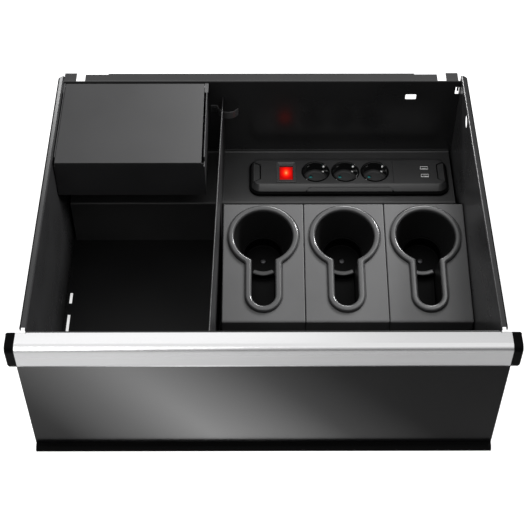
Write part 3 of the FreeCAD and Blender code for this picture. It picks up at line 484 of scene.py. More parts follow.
def keyhole(radius, half, fillet):
    """A round mouth with a slot towards the front, about the mouth's middle."""
    across = half + fillet
    down = -math.sqrt((radius + fillet) ** 2 - across ** 2)
    lean = math.atan2(down, across)
    sides = [Vector((half, down + (-SLOT_RUN - down) * step / 8)) for step in range(1, 8)]
    outline = arc((0, 0), radius, lean, math.pi - lean, 60)
    outline += arc((-across, down), fillet, -lean, 0, 5)[1:]
    outline += [Vector((-point.x, point.y)) for point in sides]
    outline += arc((0, -SLOT_RUN), half, math.pi, 2 * math.pi, 22)
    outline += sides[::-1]
    outline += arc((across, down), fillet, math.pi, math.pi + lean, 5)[:-1]
    return outline


def at_level(outline, level):
    return [(point.x, point.y, level) for point in outline]


def holder_place(node):
    """Where a holder's mouth is: moves its middle from the origin to its tilted place."""
    low, high = corners(node)
    run = high.y - low.y
    start = Vector((low.x, low.y, high.z - run * math.tan(HOLDER_TILT)))
    mouth = Vector(((high.x - low.x) / 2, run / math.cos(HOLDER_TILT) - MOUTH_BACK, 0))
    return Matrix.Translation(start) @ Matrix.Rotation(HOLDER_TILT, 4, "X") @ Matrix.Translation(mouth)


def make_holder_plate(name):
    """Tilted plate on a skirt, with soft edges and a keyhole opening."""
    node = "holder_plate_" + name
    low, high = corners(node)
    run = high.y - low.y
    slope = math.tan(HOLDER_TILT)
    plan = rectangle(low.x, high.x, low.y, high.y, 1.6)

    def ring(inset, drop):
        """The plan shrunk, and more so along the front, at a drop below the tilted top."""
        ring_points = []
        for point in shrink(plan, inset):
            back = point.y + 1.4 * inset * (high.y - point.y) / run
            ring_points.append((point.x, back, high.z - (high.y - back) * slope - drop))
        return ring_points

    outer = [at_level(plan, low.z)] + [ring(inset, drop) for inset, drop in quarter(1.5, 5)]
    hollow = rectangle(low.x + PLATE, high.x - PLATE, low.y + PLATE, high.y - PLATE, 0.6)
    inner = [at_level(hollow, low.z - 1),
             [(x, y, high.z - (high.y - y) * slope - PLATE) for x, y in hollow]]
    shell = solid("holder_" + name, outer)
    carve(shell, inner)
    opening = keyhole(48, 23, 6)
    seat = keyhole(51 + RIM_SEAT, 26 + RIM_SEAT, 6 - RIM_SEAT)
    carve(shell, [at_level(opening, -12), at_level(opening, 12)], [at_level(seat, -RIM_SEAT), at_level(seat, 12)],
          placing=holder_place(node))
    dress(shell, LOOKS["holder"], "black_plastic", node)


RIM_HEIGHT = 4.4
RIM_EDGE = 3.2
RIM_SEAT = 1.5
# Reach from the mouth's axis and rise above the ledge, round the lip
LIP = ((28.6, -1), (28.6, 0), (29, 0.6), (30.2, 1), (33.8, 1), (35, 0.6), (35.6, 0), (35.6, -1))
MOUTH, THROAT, LEDGE, WELL = 42, 30, 36, 28
SLOT, NECK = 16.5, 3.6
CUP_DEPTH, CHANNEL_DEPTH, WELL_DEPTH = 50, 60, 72


def make_holder_cup(name):
    """Raised keyhole rim, and the bowl below it: a tapering wall, a ledge, a well and a channel to the front."""
    edge = quarter(RIM_EDGE)
    rings = [at_level(keyhole(51, 26, 6), -RIM_SEAT)]
    rings += [at_level(keyhole(51 - inset, 26 - inset, 6 + inset), RIM_HEIGHT - drop) for inset, drop in edge]
    rings += [at_level(keyhole(MOUTH + inset, SLOT + inset, NECK - inset), RIM_HEIGHT - drop)
              for inset, drop in edge[::-1]]
    rings.append(at_level(keyhole(MOUTH, SLOT, NECK), -RIM_SEAT))
    place = holder_place("holder_plate_" + name)
    rim = solid("cup_" + name, rings, placing=place, loop=True)
    dress(rim, LOOKS["rim"], "black_plastic", "holder_cup_" + name)

    mesh = bmesh.new()
    rings = []
    for step in range(13):
        share = step / 12
        rings.append(at_level(keyhole(MOUTH + (THROAT - MOUTH) * share, SLOT, NECK - (NECK - 0.8) * share),
                              -0.8 - (CUP_DEPTH - 0.8) * share))
    add_loft(mesh, rings, caps=False)
    # Near-black bowl finish: painted shade inside the cup
    make_cup_skin("cup_bowl_" + name, mesh, place, "bowl")
    mesh = bmesh.new()
    ledge = []
    for step in range(96):
        turn = 2 * math.pi * step / 96
        side = abs(math.cos(turn))
        reach = LEDGE if math.sin(turn) < 0 and side * LEDGE < SLOT else min(LEDGE, SLOT / max(side, 0.1))
        reach = max(THROAT, reach) if math.sin(turn) < 0 else THROAT
        ledge.append(Vector((reach * math.cos(turn), reach * math.sin(turn))))
    soft = 1.2
    well = [at_level(ledge, -CUP_DEPTH)]
    well += [at_level(circle(WELL + soft - inset, count=96), -CUP_DEPTH - soft + drop)
             for drop, inset in quarter(soft)[::-1]]
    well += [at_level(circle(WELL - inset, count=96), -WELL_DEPTH + drop) for inset, drop in quarter(soft)]
    rows = add_loft(mesh, well, caps=False)
    mesh.faces.new(rows[-1])
    lean = math.acos(SLOT / LEDGE)
    pocket = arc((0, -SLOT_RUN), SLOT, math.pi, 2 * math.pi, 22)
    pocket += arc((0, 0), LEDGE, -lean, lean - math.pi, 12)
    floor = [at_level(pocket, -CUP_DEPTH)]
    floor += [at_level(shrink(pocket, inset), -CHANNEL_DEPTH + drop) for inset, drop in quarter(soft)]
    rows = add_loft(mesh, floor, caps=False)
    mesh.faces.new(rows[-1])
    # Darkest finish in the well and channel: painted shade at the cup's bottom
    make_cup_skin("cup_well_" + name, mesh, place, "well")
    make_lip(name, place)


def make_cup_skin(name, mesh, place, finish):
    """Gives a surface of the cup its thickness and finish."""
    skin = to_object(name, mesh, place)
    wall = skin.modifiers.new("wall", "SOLIDIFY")
    wall.thickness = 1.6 * MM
    wall.offset = -1
    bake(skin)
    dress(skin, LOOKS[finish], "black_plastic")


def make_lip(name, place):
    """Light lip of the ledge where the well meets the channel."""
    lean = math.radians(62)
    turns = [-math.pi / 2 - lean + 2 * lean * step / 24 for step in range(25)]
    rings = []
    for turn in turns:
        spoke = Vector((math.cos(turn), math.sin(turn)))
        inside = abs(spoke.x) * LEDGE < SLOT - 0.4
        if inside:
            rings.append([(*(spoke * reach), -CUP_DEPTH + rise) for reach, rise in LIP])
    lip = solid("cup_lip_" + name, rings, placing=place)
    dress(lip, LOOKS["rim"], "black_plastic")


# Fasteners
def screw(radius, length):
    """Contour of a pan-head screw, from its tip up to the top of its head, seated at zero."""
    head = 2 * radius
    tall = 1.1 * radius
    return [(0.2 * radius, -length), (radius, -length + radius), (radius, 0), (head, 0), (head, 0.35 * tall),
            (0.9 * head, 0.7 * tall), (0.62 * head, 0.93 * tall), (0.3 * head, tall)]


def make_screws(name, node, radius, length, placings):
    """Pan-head screws with cross recesses, standing along Z before they are placed."""
    mesh = bmesh.new()
    for placing in placings:
        single = solid("single", lathe(screw(radius, length), count=28))
        arm = 0.95 * radius
        slim = 0.2 * radius
        depth = (0.55 * radius, 2 * radius)
        carve(single, block((-arm, arm), (-slim, slim), depth), block((-slim, slim), (-arm, arm), depth))
        single.data.transform(Matrix.Scale(1 / MM, 4))
        single.data.transform(placing)
        mesh.from_mesh(single.data)
        bpy.data.objects.remove(single)
    dress(to_object(name, mesh), LOOKS["screw"], "fastener_steel", node)


def make_fasteners():
    """Screws that can be seen."""
    towards_back = Matrix.Rotation(math.radians(90), 4, "X")
    front_low, front_high = corners("inner_front")
    handle = [Matrix.Translation((x, front_high.y, 214)) @ towards_back.inverted()
              for x in (-250, -90, 90, 250)]
    make_screws("handle_screw_set", "handle_screws", 2.2, 5, handle)
    panel = [Matrix.Translation((x, front_high.y, z)) @ towards_back.inverted()
             for x in (-280, 280) for z in (45, 165)]
    make_screws("panel_screw_set", "front_panel_screws", 1.6, 8, panel)
    cups = [holder_place("holder_plate_" + name) @ Matrix.Translation((0, 0, -WELL_DEPTH))
            for name in ("left", "middle", "right")]
    make_screws("cup_screw_set", "holder_screws", 2, 20, cups)


# Power strip
STRIP_CORNER = 14
END_BEVEL = 4.5
FRONT_BEVEL = (6.8, 9.4)
SEAM_X = 196
PORT_GAP, PORT_END = 1.2, 0.8
TRENCH = 1.8
# Reach of the near-black plinth past the cover all round and at the front: painted shadow round the strip's foot
SHADOW_OUTSET, SHADOW_OUTSET_FRONT = 2.8, 5
SOCKET_WINDOW = 21.7
# X and way down the bevel
BEVEL_GROOVE = ((64, 13), (69.5, 5.2), (191, 5.2), (196.5, 13))


def make_strip():
    """Bevelled cover with windows, a recess at each end and a groove in its front bevel."""
    low, high = corners("strip_cover")
    slope = FRONT_BEVEL[1]

    def ring(level, share, back):
        """The cover's plan at a level, with a share of the bevels and a depth at the back taken off."""
        ends, front = END_BEVEL * share, FRONT_BEVEL[0] * share
        return at_level(rectangle(low.x + ends, high.x - ends, low.y + front, high.y - back,
                                  STRIP_CORNER - ends, 12), level)

    foot = high.z - slope - 0.4
    around = rectangle(low.x - SHADOW_OUTSET, high.x + SHADOW_OUTSET, low.y - SHADOW_OUTSET_FRONT, high.y + SHADOW_OUTSET,
                       STRIP_CORNER + SHADOW_OUTSET, 12)
    # The strip's lower body, wider than the cover and near-black: painted shadow round the strip's foot
    plinth = solid("strip_painted_shadow_plinth", prism(around, "Z", low.z, foot, 0, 0.5))
    stages = [(foot, 0.02, 0), (foot + 0.2, 0, 0), (foot + 0.4, 0, 0), (foot + 0.8, 0.05, 0),
              (high.z - 2.6, 0.7, 0.6), (high.z - 0.9, 0.88, 6.6), (high.z - 0.3, 0.95, 7.5), (high.z, 1.06, 8.2)]
    cover = solid("strip_shell", [ring(*stage) for stage in stages])
    inside = rectangle(low.x + 8, high.x - 8, low.y + 7.6, high.y - 7.6, 5)
    carve(plinth, prism(inside, "Z", low.z - 1, high.z))
    dress(plinth, LOOKS["cap"], "strip_plastic")
    carve(cover, prism(inside, "Z", low.z - 1, high.z - 3.6))
    middle = (low.y + high.y) / 2
    depth = (high.z - 5, high.z + 2)
    cuts = []
    for index in (1, 2, 3):
        socket_low, socket_high = corners("socket_%d" % index)
        x = (socket_low.x + socket_high.x) / 2
        cuts.append(lathe([(SOCKET_WINDOW, depth[0]), (SOCKET_WINDOW, depth[1])], centre=(x, middle)))
    bezel_low, bezel_high = corners("switch_bezel")
    cuts.append(prism(rectangle(bezel_low.x + 1, bezel_high.x - 1, bezel_low.y + 1.5, bezel_high.y - 1.5, 1),
                      "Z", *depth))
    for name in ("front", "rear"):
        port_low, port_high = corners("usb_port_" + name)
        cuts.append(prism(rectangle(port_low.x - 0.6, port_high.x + 0.6, port_low.y - PORT_GAP,
                                    port_high.y + PORT_GAP, 0.6), "Z", *depth))
    cuts.append(block((SEAM_X - 0.35, SEAM_X + 0.35), (low.y + 8, high.y - 5), (high.z - 0.5, high.z + 1)))
    carve(cover, *cuts)

    for x, side in ((low.x, 1), (high.x, -1)):
        points = [(x - side * 1, middle - 23), (x + side * 13.8, middle - 15), (x + side * 13.8, middle + 15),
                  (x - side * 1, middle + 23)]
        carve(cover, prism(polygon(points[::side], 1.2), "Z", high.z - 1.2, high.z + 1))
        trench = ribbon(bend([Vector(point) for point in points], 1.2), TRENCH)
        carve(cover, prism(trench, "Z", high.z - 5, high.z + 1))

    length = math.hypot(*FRONT_BEVEL)

    def on_bevel(point, deep):
        """A place on the front bevel, from its X, its way down the bevel and its depth below it."""
        share = point.y / length
        return (point.x, low.y + FRONT_BEVEL[0] * (1 - share) + slope / length * deep,
                high.z - slope * share - FRONT_BEVEL[0] / length * deep)

    groove = ribbon([Vector(point) for point in BEVEL_GROOVE], 1.8)
    carve(cover, [[on_bevel(point, deep) for point in groove] for deep in (2.2, -2)])
    dress(cover, LOOKS["strip"], "strip_plastic", "strip_cover", edge=0.3)


SOCKET_DEPTH, SOCKET_LIP, FLOOR_RISE = 18.5, 19.7, 4
# Reach of the ledge that closes the gap around a socket, and its depth below the strip's top; as part of the
# near-black insert it draws a dark ring of painted shade round the socket
SOCKET_LEDGE, LEDGE_DEPTH = 22, (4, 5)


def make_socket(index):
    """Socket insert: a lipped recess whose floor has two pin holes and two slots for the earth leaves."""
    node = "socket_%d" % index
    low, high = corners(node)
    centre = ((low.x + high.x) / 2, (low.y + high.y) / 2)
    lip = SOCKET_LIP
    floor = high.z - SOCKET_DEPTH
    ledge = [high.z - deep for deep in LEDGE_DEPTH]
    contour = [(lip - 0.7, floor - 1.7), (lip - 0.7, ledge[1]), (SOCKET_LEDGE, ledge[1]), (SOCKET_LEDGE, ledge[0]),
               (lip - 0.7, ledge[0]), (lip - 0.7, high.z - 1), (lip, high.z - 1), (lip, high.z - 0.5),
               (lip - 0.15, high.z - 0.15), (lip - 0.5, high.z), (lip - 0.9, high.z), (lip - 1.2, high.z - 0.15),
               (lip - 1.35, high.z - 0.6), (lip - 1.4, floor - 1.7)]
    insert = solid("socket_insert_%d" % index, lathe(contour, centre=centre, count=72), loop=True)
    contour = [(lip - 1.2, floor - 2), (lip - 1.2, floor + FLOOR_RISE), (lip - 1.5, floor + FLOOR_RISE),
               (lip - 1.8, floor + 2.6), (lip - 2.6, floor + 1.4), (lip - 3.8, floor + 0.5), (lip - 5.4, floor)]
    base = solid("socket_floor_%d" % index, lathe(contour, centre=centre, count=72))
    depth = (floor - 4, floor + 1)
    cuts = [lathe([(2.8, depth[0]), (2.8, depth[1])], centre=(centre[0] + sign * 6.72, centre[1] - sign * 6.72),
                  count=24) for sign in (1, -1)]
    carve(base, *cuts)
    turned = Matrix.Translation((*centre, 0)) @ Matrix.Rotation(math.radians(45), 4, "Z")
    slots = [block((sign * 16.2, sign * 18.4), (-2.4, 2.4), depth) for sign in (1, -1)]
    carve(base, *slots, placing=turned)
    dress(base, LOOKS["floor"], "strip_plastic")
    ribs = bmesh.new()
    ribs.from_mesh(insert.data)
    ribs.transform(Matrix.Scale(1 / MM, 4))
    for turn, length in ((152, 7), (128, 4.5)):
        rib = bmesh.new()
        add_loft(rib, prism(polygon([(lip - 2.6, high.z - 5.4), (lip - 1.3, high.z - 6), (lip - 1.3, high.z - 3.6),
                                     (lip - 2.6, high.z - 4.2)], 0.3, 2), "Y", -length / 2, length / 2, 0.4, 0.4))
        rib.transform(Matrix.Translation((*centre, 0)) @ Matrix.Rotation(math.radians(turn), 4, "Z"))
        data = bpy.data.meshes.new("rib")
        rib.to_mesh(data)
        rib.free()
        ribs.from_mesh(data)
    ribs.transform(Matrix.Scale(MM, 4))
    bmesh.ops.recalc_face_normals(ribs, faces=ribs.faces)
    ribs.to_mesh(insert.data)
    ribs.free()
    # The insert's near-black gloss on its walls and ledge is painted shade
    dress(insert, LOOKS["socket"], "strip_plastic", node)


# Outline of a leaf's lower bump, and contour of its tip: radius and place along it
LEAF_FOOT = ((15.9, 0.2), (16.3, -0.2), (17.4, -0.2), (17.4, 0.8), (16.6, 1), (16.1, 0.8))
LEAF_RISE, TIP_RISE = 5.2, 2.2
LEAF_TIP = ((0.4, 0), (1.1, 0.25), (1.45, 0.8), (1.5, 1.6), (1.5, 5), (1.4, 5.2))


def make_earth_clips():
    """Earth leaves: each has a bump half way up the socket's wall and ends in a round tip."""
    low, high = corners("earth_clips")
    mesh = bmesh.new()
    for index in (1, 2, 3):
        socket_low, socket_high = corners("socket_%d" % index)
        middle = (socket_low + socket_high) / 2
        floor = socket_high.z - SOCKET_DEPTH
        for turn, rise in ((45, TIP_RISE), (225, 0)):
            stem = [Vector((19.8, low.z)), Vector((19.8, high.z + rise + 1))]
            link = [Vector((17, floor + LEAF_RISE)), Vector((19.8, floor + LEAF_RISE))]
            foot = prism([Vector((x, floor + LEAF_RISE + z)) for x, z in LEAF_FOOT], "Y", -1.7, 1.7, 0.3, 0.3)
            tip = [(radius, 15.6 + along) for radius, along in LEAF_TIP]
            leaf = bmesh.new()
            add_loft(leaf, prism(ribbon(stem, 0.8), "Y", -1.6, 1.6))
            add_loft(leaf, prism(ribbon(link, 0.5), "Y", -0.6, 0.6))
            add_loft(leaf, foot)
            add_loft(leaf, lathe(tip, "X", (0, high.z + rise), 20))
            leaf.transform(Matrix.Translation((middle.x, middle.y, 0))
                           @ Matrix.Rotation(math.radians(turn), 4, "Z"))
            data = bpy.data.meshes.new("leaf")
            leaf.to_mesh(data)
            leaf.free()
            mesh.from_mesh(data)
    bmesh.ops.recalc_face_normals(mesh, faces=mesh.faces)
    # The leaves' near-white finish is painted highlight
    dress(to_object("earth_leaves", mesh), LOOKS["port"], "fastener_steel", "earth_clips")


BEZEL_HEIGHT = 1.6
# Inset from the bezel's rim and rise above the strip, across the frame that leans towards the rocker
BEZEL_LEAN = ((0, 0), (0, 1.1), (0.15, 1.4), (0.5, 1.6), (0.9, 1.58), (4.2, 0.6))
ROCKER_HALF, ROCKER_BACK = 13.5, 11.2


def make_switch():
    """Switch bezel and the lit rocker."""
    low, high = corners("switch_bezel")
    rocker_low, rocker_high = corners("switch_rocker")
    middle = (low + high) / 2
    skirt_low = low.z
    top_of_strip = high.z - BEZEL_HEIGHT
    opening = (10.3, ROCKER_HALF + 1.9)

    def ring(half_x, half_y, level, radius, back=None):
        return at_level(rectangle(middle.x - half_x, middle.x + half_x, middle.y - half_y,
                                  middle.y + (back or half_y), radius), level)

    back = ROCKER_BACK + 2
    half = ((high.x - low.x) / 2, (high.y - low.y) / 2)
    skirt = (half[0] - 1.1, half[1] - 1.6)
    rings = [ring(*skirt, skirt_low, 1.4), ring(*skirt, top_of_strip, 1.4)]
    rings += [ring(half[0] - inset, half[1] - inset, top_of_strip + rise, 2.5 - 0.4 * inset)
              for inset, rise in BEZEL_LEAN]
    rings += [ring(*opening, top_of_strip + 0.4, 0.6, back), ring(*opening, skirt_low, 0.6, back)]
    bezel = solid("switch_frame", rings, loop=True)
    dress(bezel, LOOKS["frame"], "strip_plastic", "switch_bezel")

    tilt = math.radians(11)
    half_length, foot, sink, shoulder, height = ROCKER_HALF, 5, 3.6, 4.6, 9
    rise = height + half_length * math.tan(tilt)
    rear_rise = height + ROCKER_BACK * math.tan(tilt)
    points = [(-half_length, shoulder - sink), (-foot, -sink), (foot, -sink), (ROCKER_BACK, shoulder - sink),
              (ROCKER_BACK, rear_rise - sink), (0, height - sink), (-half_length, rise - sink)]
    outline = polygon(points, [0.8, 2, 2, 0.8, 1.2, 14, 1.2], 8)
    half_width = 9.8
    placing = Matrix.Translation((35, middle.y, 101)) @ Matrix.Rotation(tilt, 4, "X")
    rocker = solid("rocker_key", prism(outline, "X", -half_width, half_width, 0.9, 0.9), placing=placing)
    dress(rocker, LOOKS["red"], "rocker_red", "switch_rocker", body="rocker")


def make_ports():
    """Charging ports: a folded metal shell with a dark lining around a tongue. The shell's near-white finish is
    painted highlight and the lining's near-black one painted shade.
    """
    for name in ("front", "rear"):
        low, high = corners("usb_port_" + name)
        middle = (low + high) / 2

        def ring(inset, level, slim=1.0):
            """The port's plan made smaller, by less along its ends where slim is below one."""
            ends = PORT_END + inset * slim
            return at_level(rectangle(low.x + ends, high.x - ends, low.y + inset, high.y - inset, 0.4), level)

        rings = [ring(0, low.z), ring(0, high.z - 0.3), ring(0.3, high.z), ring(0.9, high.z, 0.5),
                 ring(1.1, high.z - 0.3, 0.5), ring(1.1, low.z, 0.5)]
        shell = solid("port_shell_" + name, rings, loop=True)
        # The shell's near-white finish is painted highlight
        dress(shell, LOOKS["port"], "fastener_steel", "usb_port_" + name)
        rings = [ring(1.15, low.z + 1, 0.5), ring(1.15, high.z - 0.4, 0.5), ring(1.3, high.z - 0.5, 0.5),
                 ring(1.3, low.z + 3, 0.5)]
        # The lining's near-black finish is painted shade in the port's opening
        dress(solid("port_lining_" + name, rings), LOOKS["bowl"], "strip_plastic")
        tongue = rectangle(middle.x - 2.8, middle.x + 2.8, middle.y - 0.5, middle.y + 0.5, 0.3)
        inner = solid("port_tongue_" + name, prism(tongue, "Z", low.z + 3, high.z - 0.6, 0, 0.3))
        dress(inner, LOOKS["tongue"], "strip_plastic")


def make_cable_clip():
    """Bowed strap on the back wall, open at its right end."""
    low, high = corners("cable_clip")
    gauge = 1.5
    wall = high.y - gauge / 2
    bow = (high.y - low.y) - gauge / 2
    hub = (low.x + 26.5, high.y)
    line = [Vector((low.x, wall)), Vector((low.x + 7, wall))]
    line += arc(hub, bow, math.radians(184), math.radians(332), 28)
    strap = solid("cable_strap", prism(ribbon(line, gauge), "Z", low.z, high.z, 0.3, 0.3))
    dress(strap, LOOKS["clip"], "black_plastic", "cable_clip", edge=0.3)


def keep_cad():
    """CAD nodes whose shape is right get their finishes."""
    kept = {
        "powder": ["inner_front", "divider", "cable_box", "cable_box_front", "cable_box_lid", "cable_clip_rivet"],
        "pan": ["floor_panel"],
        "gloss": ["front_panel"],
        "cap": ["bottom_trim", "holder_posts", "strip_base", "cable_gland", "switch_body"],
        "teal": ["socket_shutter_1", "socket_shutter_2", "socket_shutter_3"],
        "brass": ["live_bar", "neutral_bar", "earth_plate", "switch_blades"],
        "zinc": ["shelf_rivets", "cable_box_rivets", "lid_hinge_pins", "strip_screws",
                 "shutter_springs"],
        "board": ["usb_board"],
    }
    for finish, nodes in kept.items():
        for node in nodes:
            soften(node, LOOKS[finish])


# Stage. The card's half width and depth are in millimetres, its slant and span in metres.
CARD = (650, 300)
CARD_SLANT = -1.19
CARD_SPAN = (-0.05, 0.85)
CARD_BAND = ((0, 0.02), (0.1, 0.08), (0.22, 0.5), (0.32, 1), (0.41, 0.66), (0.53, 0.19), (0.66, 0.03), (1, 0))
CARD_GLOW = 11.8


def make_floor():
    """Pale floor that renders white away from the drawer's shadow."""
    size = 8
    mesh = bmesh.new()
    bmesh.ops.create_grid(mesh, x_segments=1, y_segments=1, size=size / MM)
    floor = to_object("floor", mesh, Matrix.Translation((0, 0, -0.3)))
    finish = bpy.data.materials.new("pale_floor")
    finish.use_nodes = True
    tree = finish.node_tree
    shader = tree.nodes["Principled BSDF"]
    shader.inputs["Roughness"].default_value = 0.9
    shader.inputs["Specular IOR Level"].default_value = 0.1
    place = tree.nodes.new("ShaderNodeTexCoord")
    tone = tree.nodes.new("ShaderNodeValToRGB")
    for stop, level in zip(tone.color_ramp.elements, (0.78, 0.8)):
        stop.color = (level, level, level, 1)
    tree.links.new(link_noise(tree, place.outputs["Object"], 3, 2), tone.inputs["Fac"])
    tree.links.new(tone.outputs["Color"], shader.inputs["Base Color"])
    rays = tree.nodes.new("ShaderNodeLightPath")
    fill = tree.nodes.new("ShaderNodeMath")
    fill.operation = "MULTIPLY"
    fill.inputs[1].default_value = 0.7
    shader.inputs["Emission Color"].default_value = (1, 1, 1, 1)
    tree.links.new(rays.outputs["Is Camera Ray"], fill.inputs[0])
    tree.links.new(fill.outputs["Value"], shader.inputs["Emission Strength"])
    floor.data.materials.append(finish)


def make_card():
    """Glowing card in front of the panel that only its gloss shows: bright along a slanting band."""
    low, high = corners("front_panel")
    near = corners("bottom_trim")[0].y
    mesh = bmesh.new()
    rim = [(-CARD[0], near - CARD[1], 1), (CARD[0], near - CARD[1], 1), (CARD[0], near, 1), (-CARD[0], near, 1)]
    mesh.faces.new([mesh.verts.new(point) for point in rim])
    card = to_object("panel_card", mesh)
    finish = bpy.data.materials.new("card_light")
    finish.use_nodes = True
    tree = finish.node_tree
    tree.nodes.remove(tree.nodes["Principled BSDF"])
    glow = tree.nodes.new("ShaderNodeEmission")
    both = tree.nodes.new("ShaderNodeAddShader")
    tree.links.new(glow.outputs["Emission"], both.inputs[0])
    tree.links.new(tree.nodes.new("ShaderNodeBsdfTransparent").outputs["BSDF"], both.inputs[1])
    tree.links.new(both.outputs["Shader"], tree.nodes["Material Output"].inputs["Surface"])
    place = tree.nodes.new("ShaderNodeTexCoord")
    split = tree.nodes.new("ShaderNodeSeparateXYZ")
    tree.links.new(place.outputs["Object"], split.inputs["Vector"])
    slant = tree.nodes.new("ShaderNodeMath")
    slant.operation = "MULTIPLY_ADD"
    slant.inputs[1].default_value = CARD_SLANT
    tree.links.new(split.outputs["Y"], slant.inputs[0])
    tree.links.new(split.outputs["X"], slant.inputs[2])
    span = tree.nodes.new("ShaderNodeMapRange")
    span.inputs["From Min"].default_value = CARD_SPAN[0]
    span.inputs["From Max"].default_value = CARD_SPAN[1]
    tree.links.new(slant.outputs["Value"], span.inputs["Value"])
    band = tree.nodes.new("ShaderNodeValToRGB")
    stops = band.color_ramp.elements
    stops[0].color = (CARD_BAND[0][1],) * 3 + (1,)
    stops[1].color = (CARD_BAND[-1][1],) * 3 + (1,)
    for at, level in CARD_BAND[1:-1]:
        stops.new(at).color = (level, level, level, 1)
    tree.links.new(span.outputs["Result"], band.inputs["Fac"])
    tree.links.new(band.outputs["Color"], glow.inputs["Color"])
    glow.inputs["Strength"].default_value = CARD_GLOW
    card.data.materials.append(finish)
    card.visible_camera = card.visible_diffuse = card.visible_shadow = card.visible_transmission = False
    lit = bpy.data.collections.new("card_receivers")
    lit.objects.link(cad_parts["front_panel"])
    card.light_linking.receiver_collection = lit


def make_world():
    """Soft dome of light, bright overhead and white where the camera sees it."""
    world = bpy.data.worlds.new("studio")
    bpy.context.scene.world = world
    world.use_nodes = True
    tree = world.node_tree
    sky = tree.nodes["Background"]
    place = tree.nodes.new("ShaderNodeTexCoord")
    split = tree.nodes.new("ShaderNodeSeparateXYZ")
    tree.links.new(place.outputs["Generated"], split.inputs["Vector"])
    dome = tree.nodes.new("ShaderNodeValToRGB")
    stops = dome.color_ramp.elements
    stops[0].color = (0.06, 0.06, 0.06, 1)
    stops[1].color = (0.52, 0.52, 0.52, 1)
    for at, level in ((0.35, 0.1), (0.62, 0.24), (0.78, 0.46), (0.92, 0.6)):
        stops.new(at).color = (level, level, level, 1)
    tree.links.new(split.outputs["Z"], dome.inputs["Fac"])
    tree.links.new(dome.outputs["Color"], sky.inputs["Color"])
    sky.inputs["Strength"].default_value = 2.55
    seen = tree.nodes.new("ShaderNodeBackground")
    rays = tree.nodes.new("ShaderNodeLightPath")
    pick = tree.nodes.new("ShaderNodeMixShader")
    tree.links.new(rays.outputs["Is Camera Ray"], pick.inputs["Fac"])
    tree.links.new(sky.outputs["Background"], pick.inputs[1])
    tree.links.new(seen.outputs["Background"], pick.inputs[2])
    seen.inputs["Color"].default_value = (1, 1, 1, 1)
    tree.links.new(pick.outputs["Shader"], tree.nodes["World Output"].inputs["Surface"])


def make_lamp(name, place, target, size, power, *lit, state="INCLUDE"):
    """A soft rectangular lamp. Where pieces are given, it lights only those, or all but those."""
    lamp = bpy.data.lights.new(name, "AREA")
    lamp.shape = "RECTANGLE"
    lamp.size, lamp.size_y = size
    lamp.energy = power
    holder = bpy.data.objects.new(name, lamp)
    holder.location = place
    holder.rotation_euler = (Vector(target) - Vector(place)).to_track_quat("-Z", "Y").to_euler()
    holder.visible_camera = False
    bpy.context.scene.collection.objects.link(holder)
    if lit:
        pieces = bpy.data.collections.new(name + "_receivers")
        for piece in lit:
            pieces.objects.link(bpy.data.objects[piece])
        for linked in pieces.collection_objects:
            linked.light_linking.link_state = state
        holder.light_linking.receiver_collection = pieces


def make_camera():
    """Camera where the photograph was taken from, fitted to the drawer's corners."""
    pitch, yaw, roll = (math.radians(turn) for turn in (49.71, -0.30, -0.14))
    turn = Matrix.Rotation(yaw, 3, "Z")
    right = turn @ Vector((1, 0, 0))
    ahead = turn @ Vector((0, math.cos(pitch), -math.sin(pitch)))
    down = ahead.cross(right)
    across = right * math.cos(roll) + down * math.sin(roll)
    below = down * math.cos(roll) - right * math.sin(roll)
    lens = bpy.data.cameras.new("camera")
    lens.sensor_width = 36
    lens.lens = 83.89
    camera = bpy.data.objects.new("camera", lens)
    axes = Matrix((across, -below, -ahead)).transposed().to_4x4()
    camera.matrix_world = Matrix.Translation((-0.0035, -1.1401, 1.4397)) @ axes
    bpy.context.scene.collection.objects.link(camera)
    bpy.context.scene.camera = camera


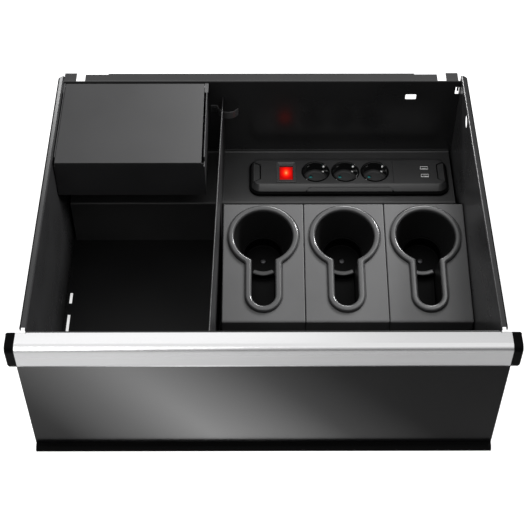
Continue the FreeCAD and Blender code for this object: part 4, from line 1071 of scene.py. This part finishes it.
make_side_wall("side_wall_left", -1)
make_side_wall("side_wall_right", 1)
make_back_wall()
make_shelf()
make_handle()
for holder in ("left", "middle", "right"):
    make_holder_plate(holder)
    make_holder_cup(holder)
make_fasteners()
make_strip()
for number in (1, 2, 3):
    make_socket(number)
make_earth_clips()
make_switch()
make_ports()
make_cable_clip()
keep_cad()
make_floor()
make_card()
make_world()
HOLDERS = [piece + name for name in ("left", "middle", "right") for piece in ("holder_", "cup_", "cup_lip_")]
WALLS, CAPS = ("wall_left", "wall_right"), ("rail_cap_left", "rail_cap_right")
LID, BOX, DIVIDER = (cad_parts[node].name for node in ("cable_box_lid", "cable_box", "divider"))
make_lamp("key", (1.35, 1.3, 1.55), (0, 0, 0.15), (0.35, 0.35), 56, "floor", "rail", LID, *WALLS, *CAPS,
          state="EXCLUDE")
make_lamp("back", (0.4, 1.5, 1.35), (-0.1, 0.1, 0.2), (0.6, 0.4), 24, LID, BOX, DIVIDER, *HOLDERS)
make_lamp("left", (-0.55, 1.3, 2.3), (0, -0.1, 0.2), (1.7, 0.6), 3.1, "rail", "wall_back")
make_lamp("flange", (-0.6, 1.94, 1.44), (0, 0.1, 0.2), (0.3, 0.3), 24, WALLS[0])
make_lamp("bend", (-0.6, 1.8, 1.44), (0, 0.1, 0.2), (0.3, 0.3), 56, WALLS[1])
make_lamp("from_right", (1.3, -0.2, 1.15), (-0.3, 0, 0.15), (0.6, 0.4), 58, WALLS[0])
make_lamp("from_left", (-0.75, -1.0, 0.95), (0.3, -0.2, 0.15), (0.4, 0.3), 17, WALLS[1])
make_lamp("top", (0.75, 0.55, 2.2), (0.15, -0.05, 0.12), (0.6, 0.6), 4, *HOLDERS)
make_lamp("front", (-1.05, -2.0, 1.35), (-0.2, -0.2, 0.15), (1.1, 2.2), 52, "rail")
make_lamp("ground", (-0.28, -0.4, 0.3), (-0.26, -0.36, 0), (0.6, 0.12), 0.9, "floor")
make_lamp("bevel", (0.1, -2.2, 1.35), (0.1, 0.1, 0.1), (1.2, 0.7), 11, "strip_shell")
make_lamp("glint", (0.85, 1.29, 1.26), (0.035, 0.17, 0.1), (0.3, 0.3), 13, "switch_frame",
          "port_shell_front", "port_shell_rear", "earth_leaves")
make_camera()
bpy.context.scene.view_settings.view_transform = "Standard"
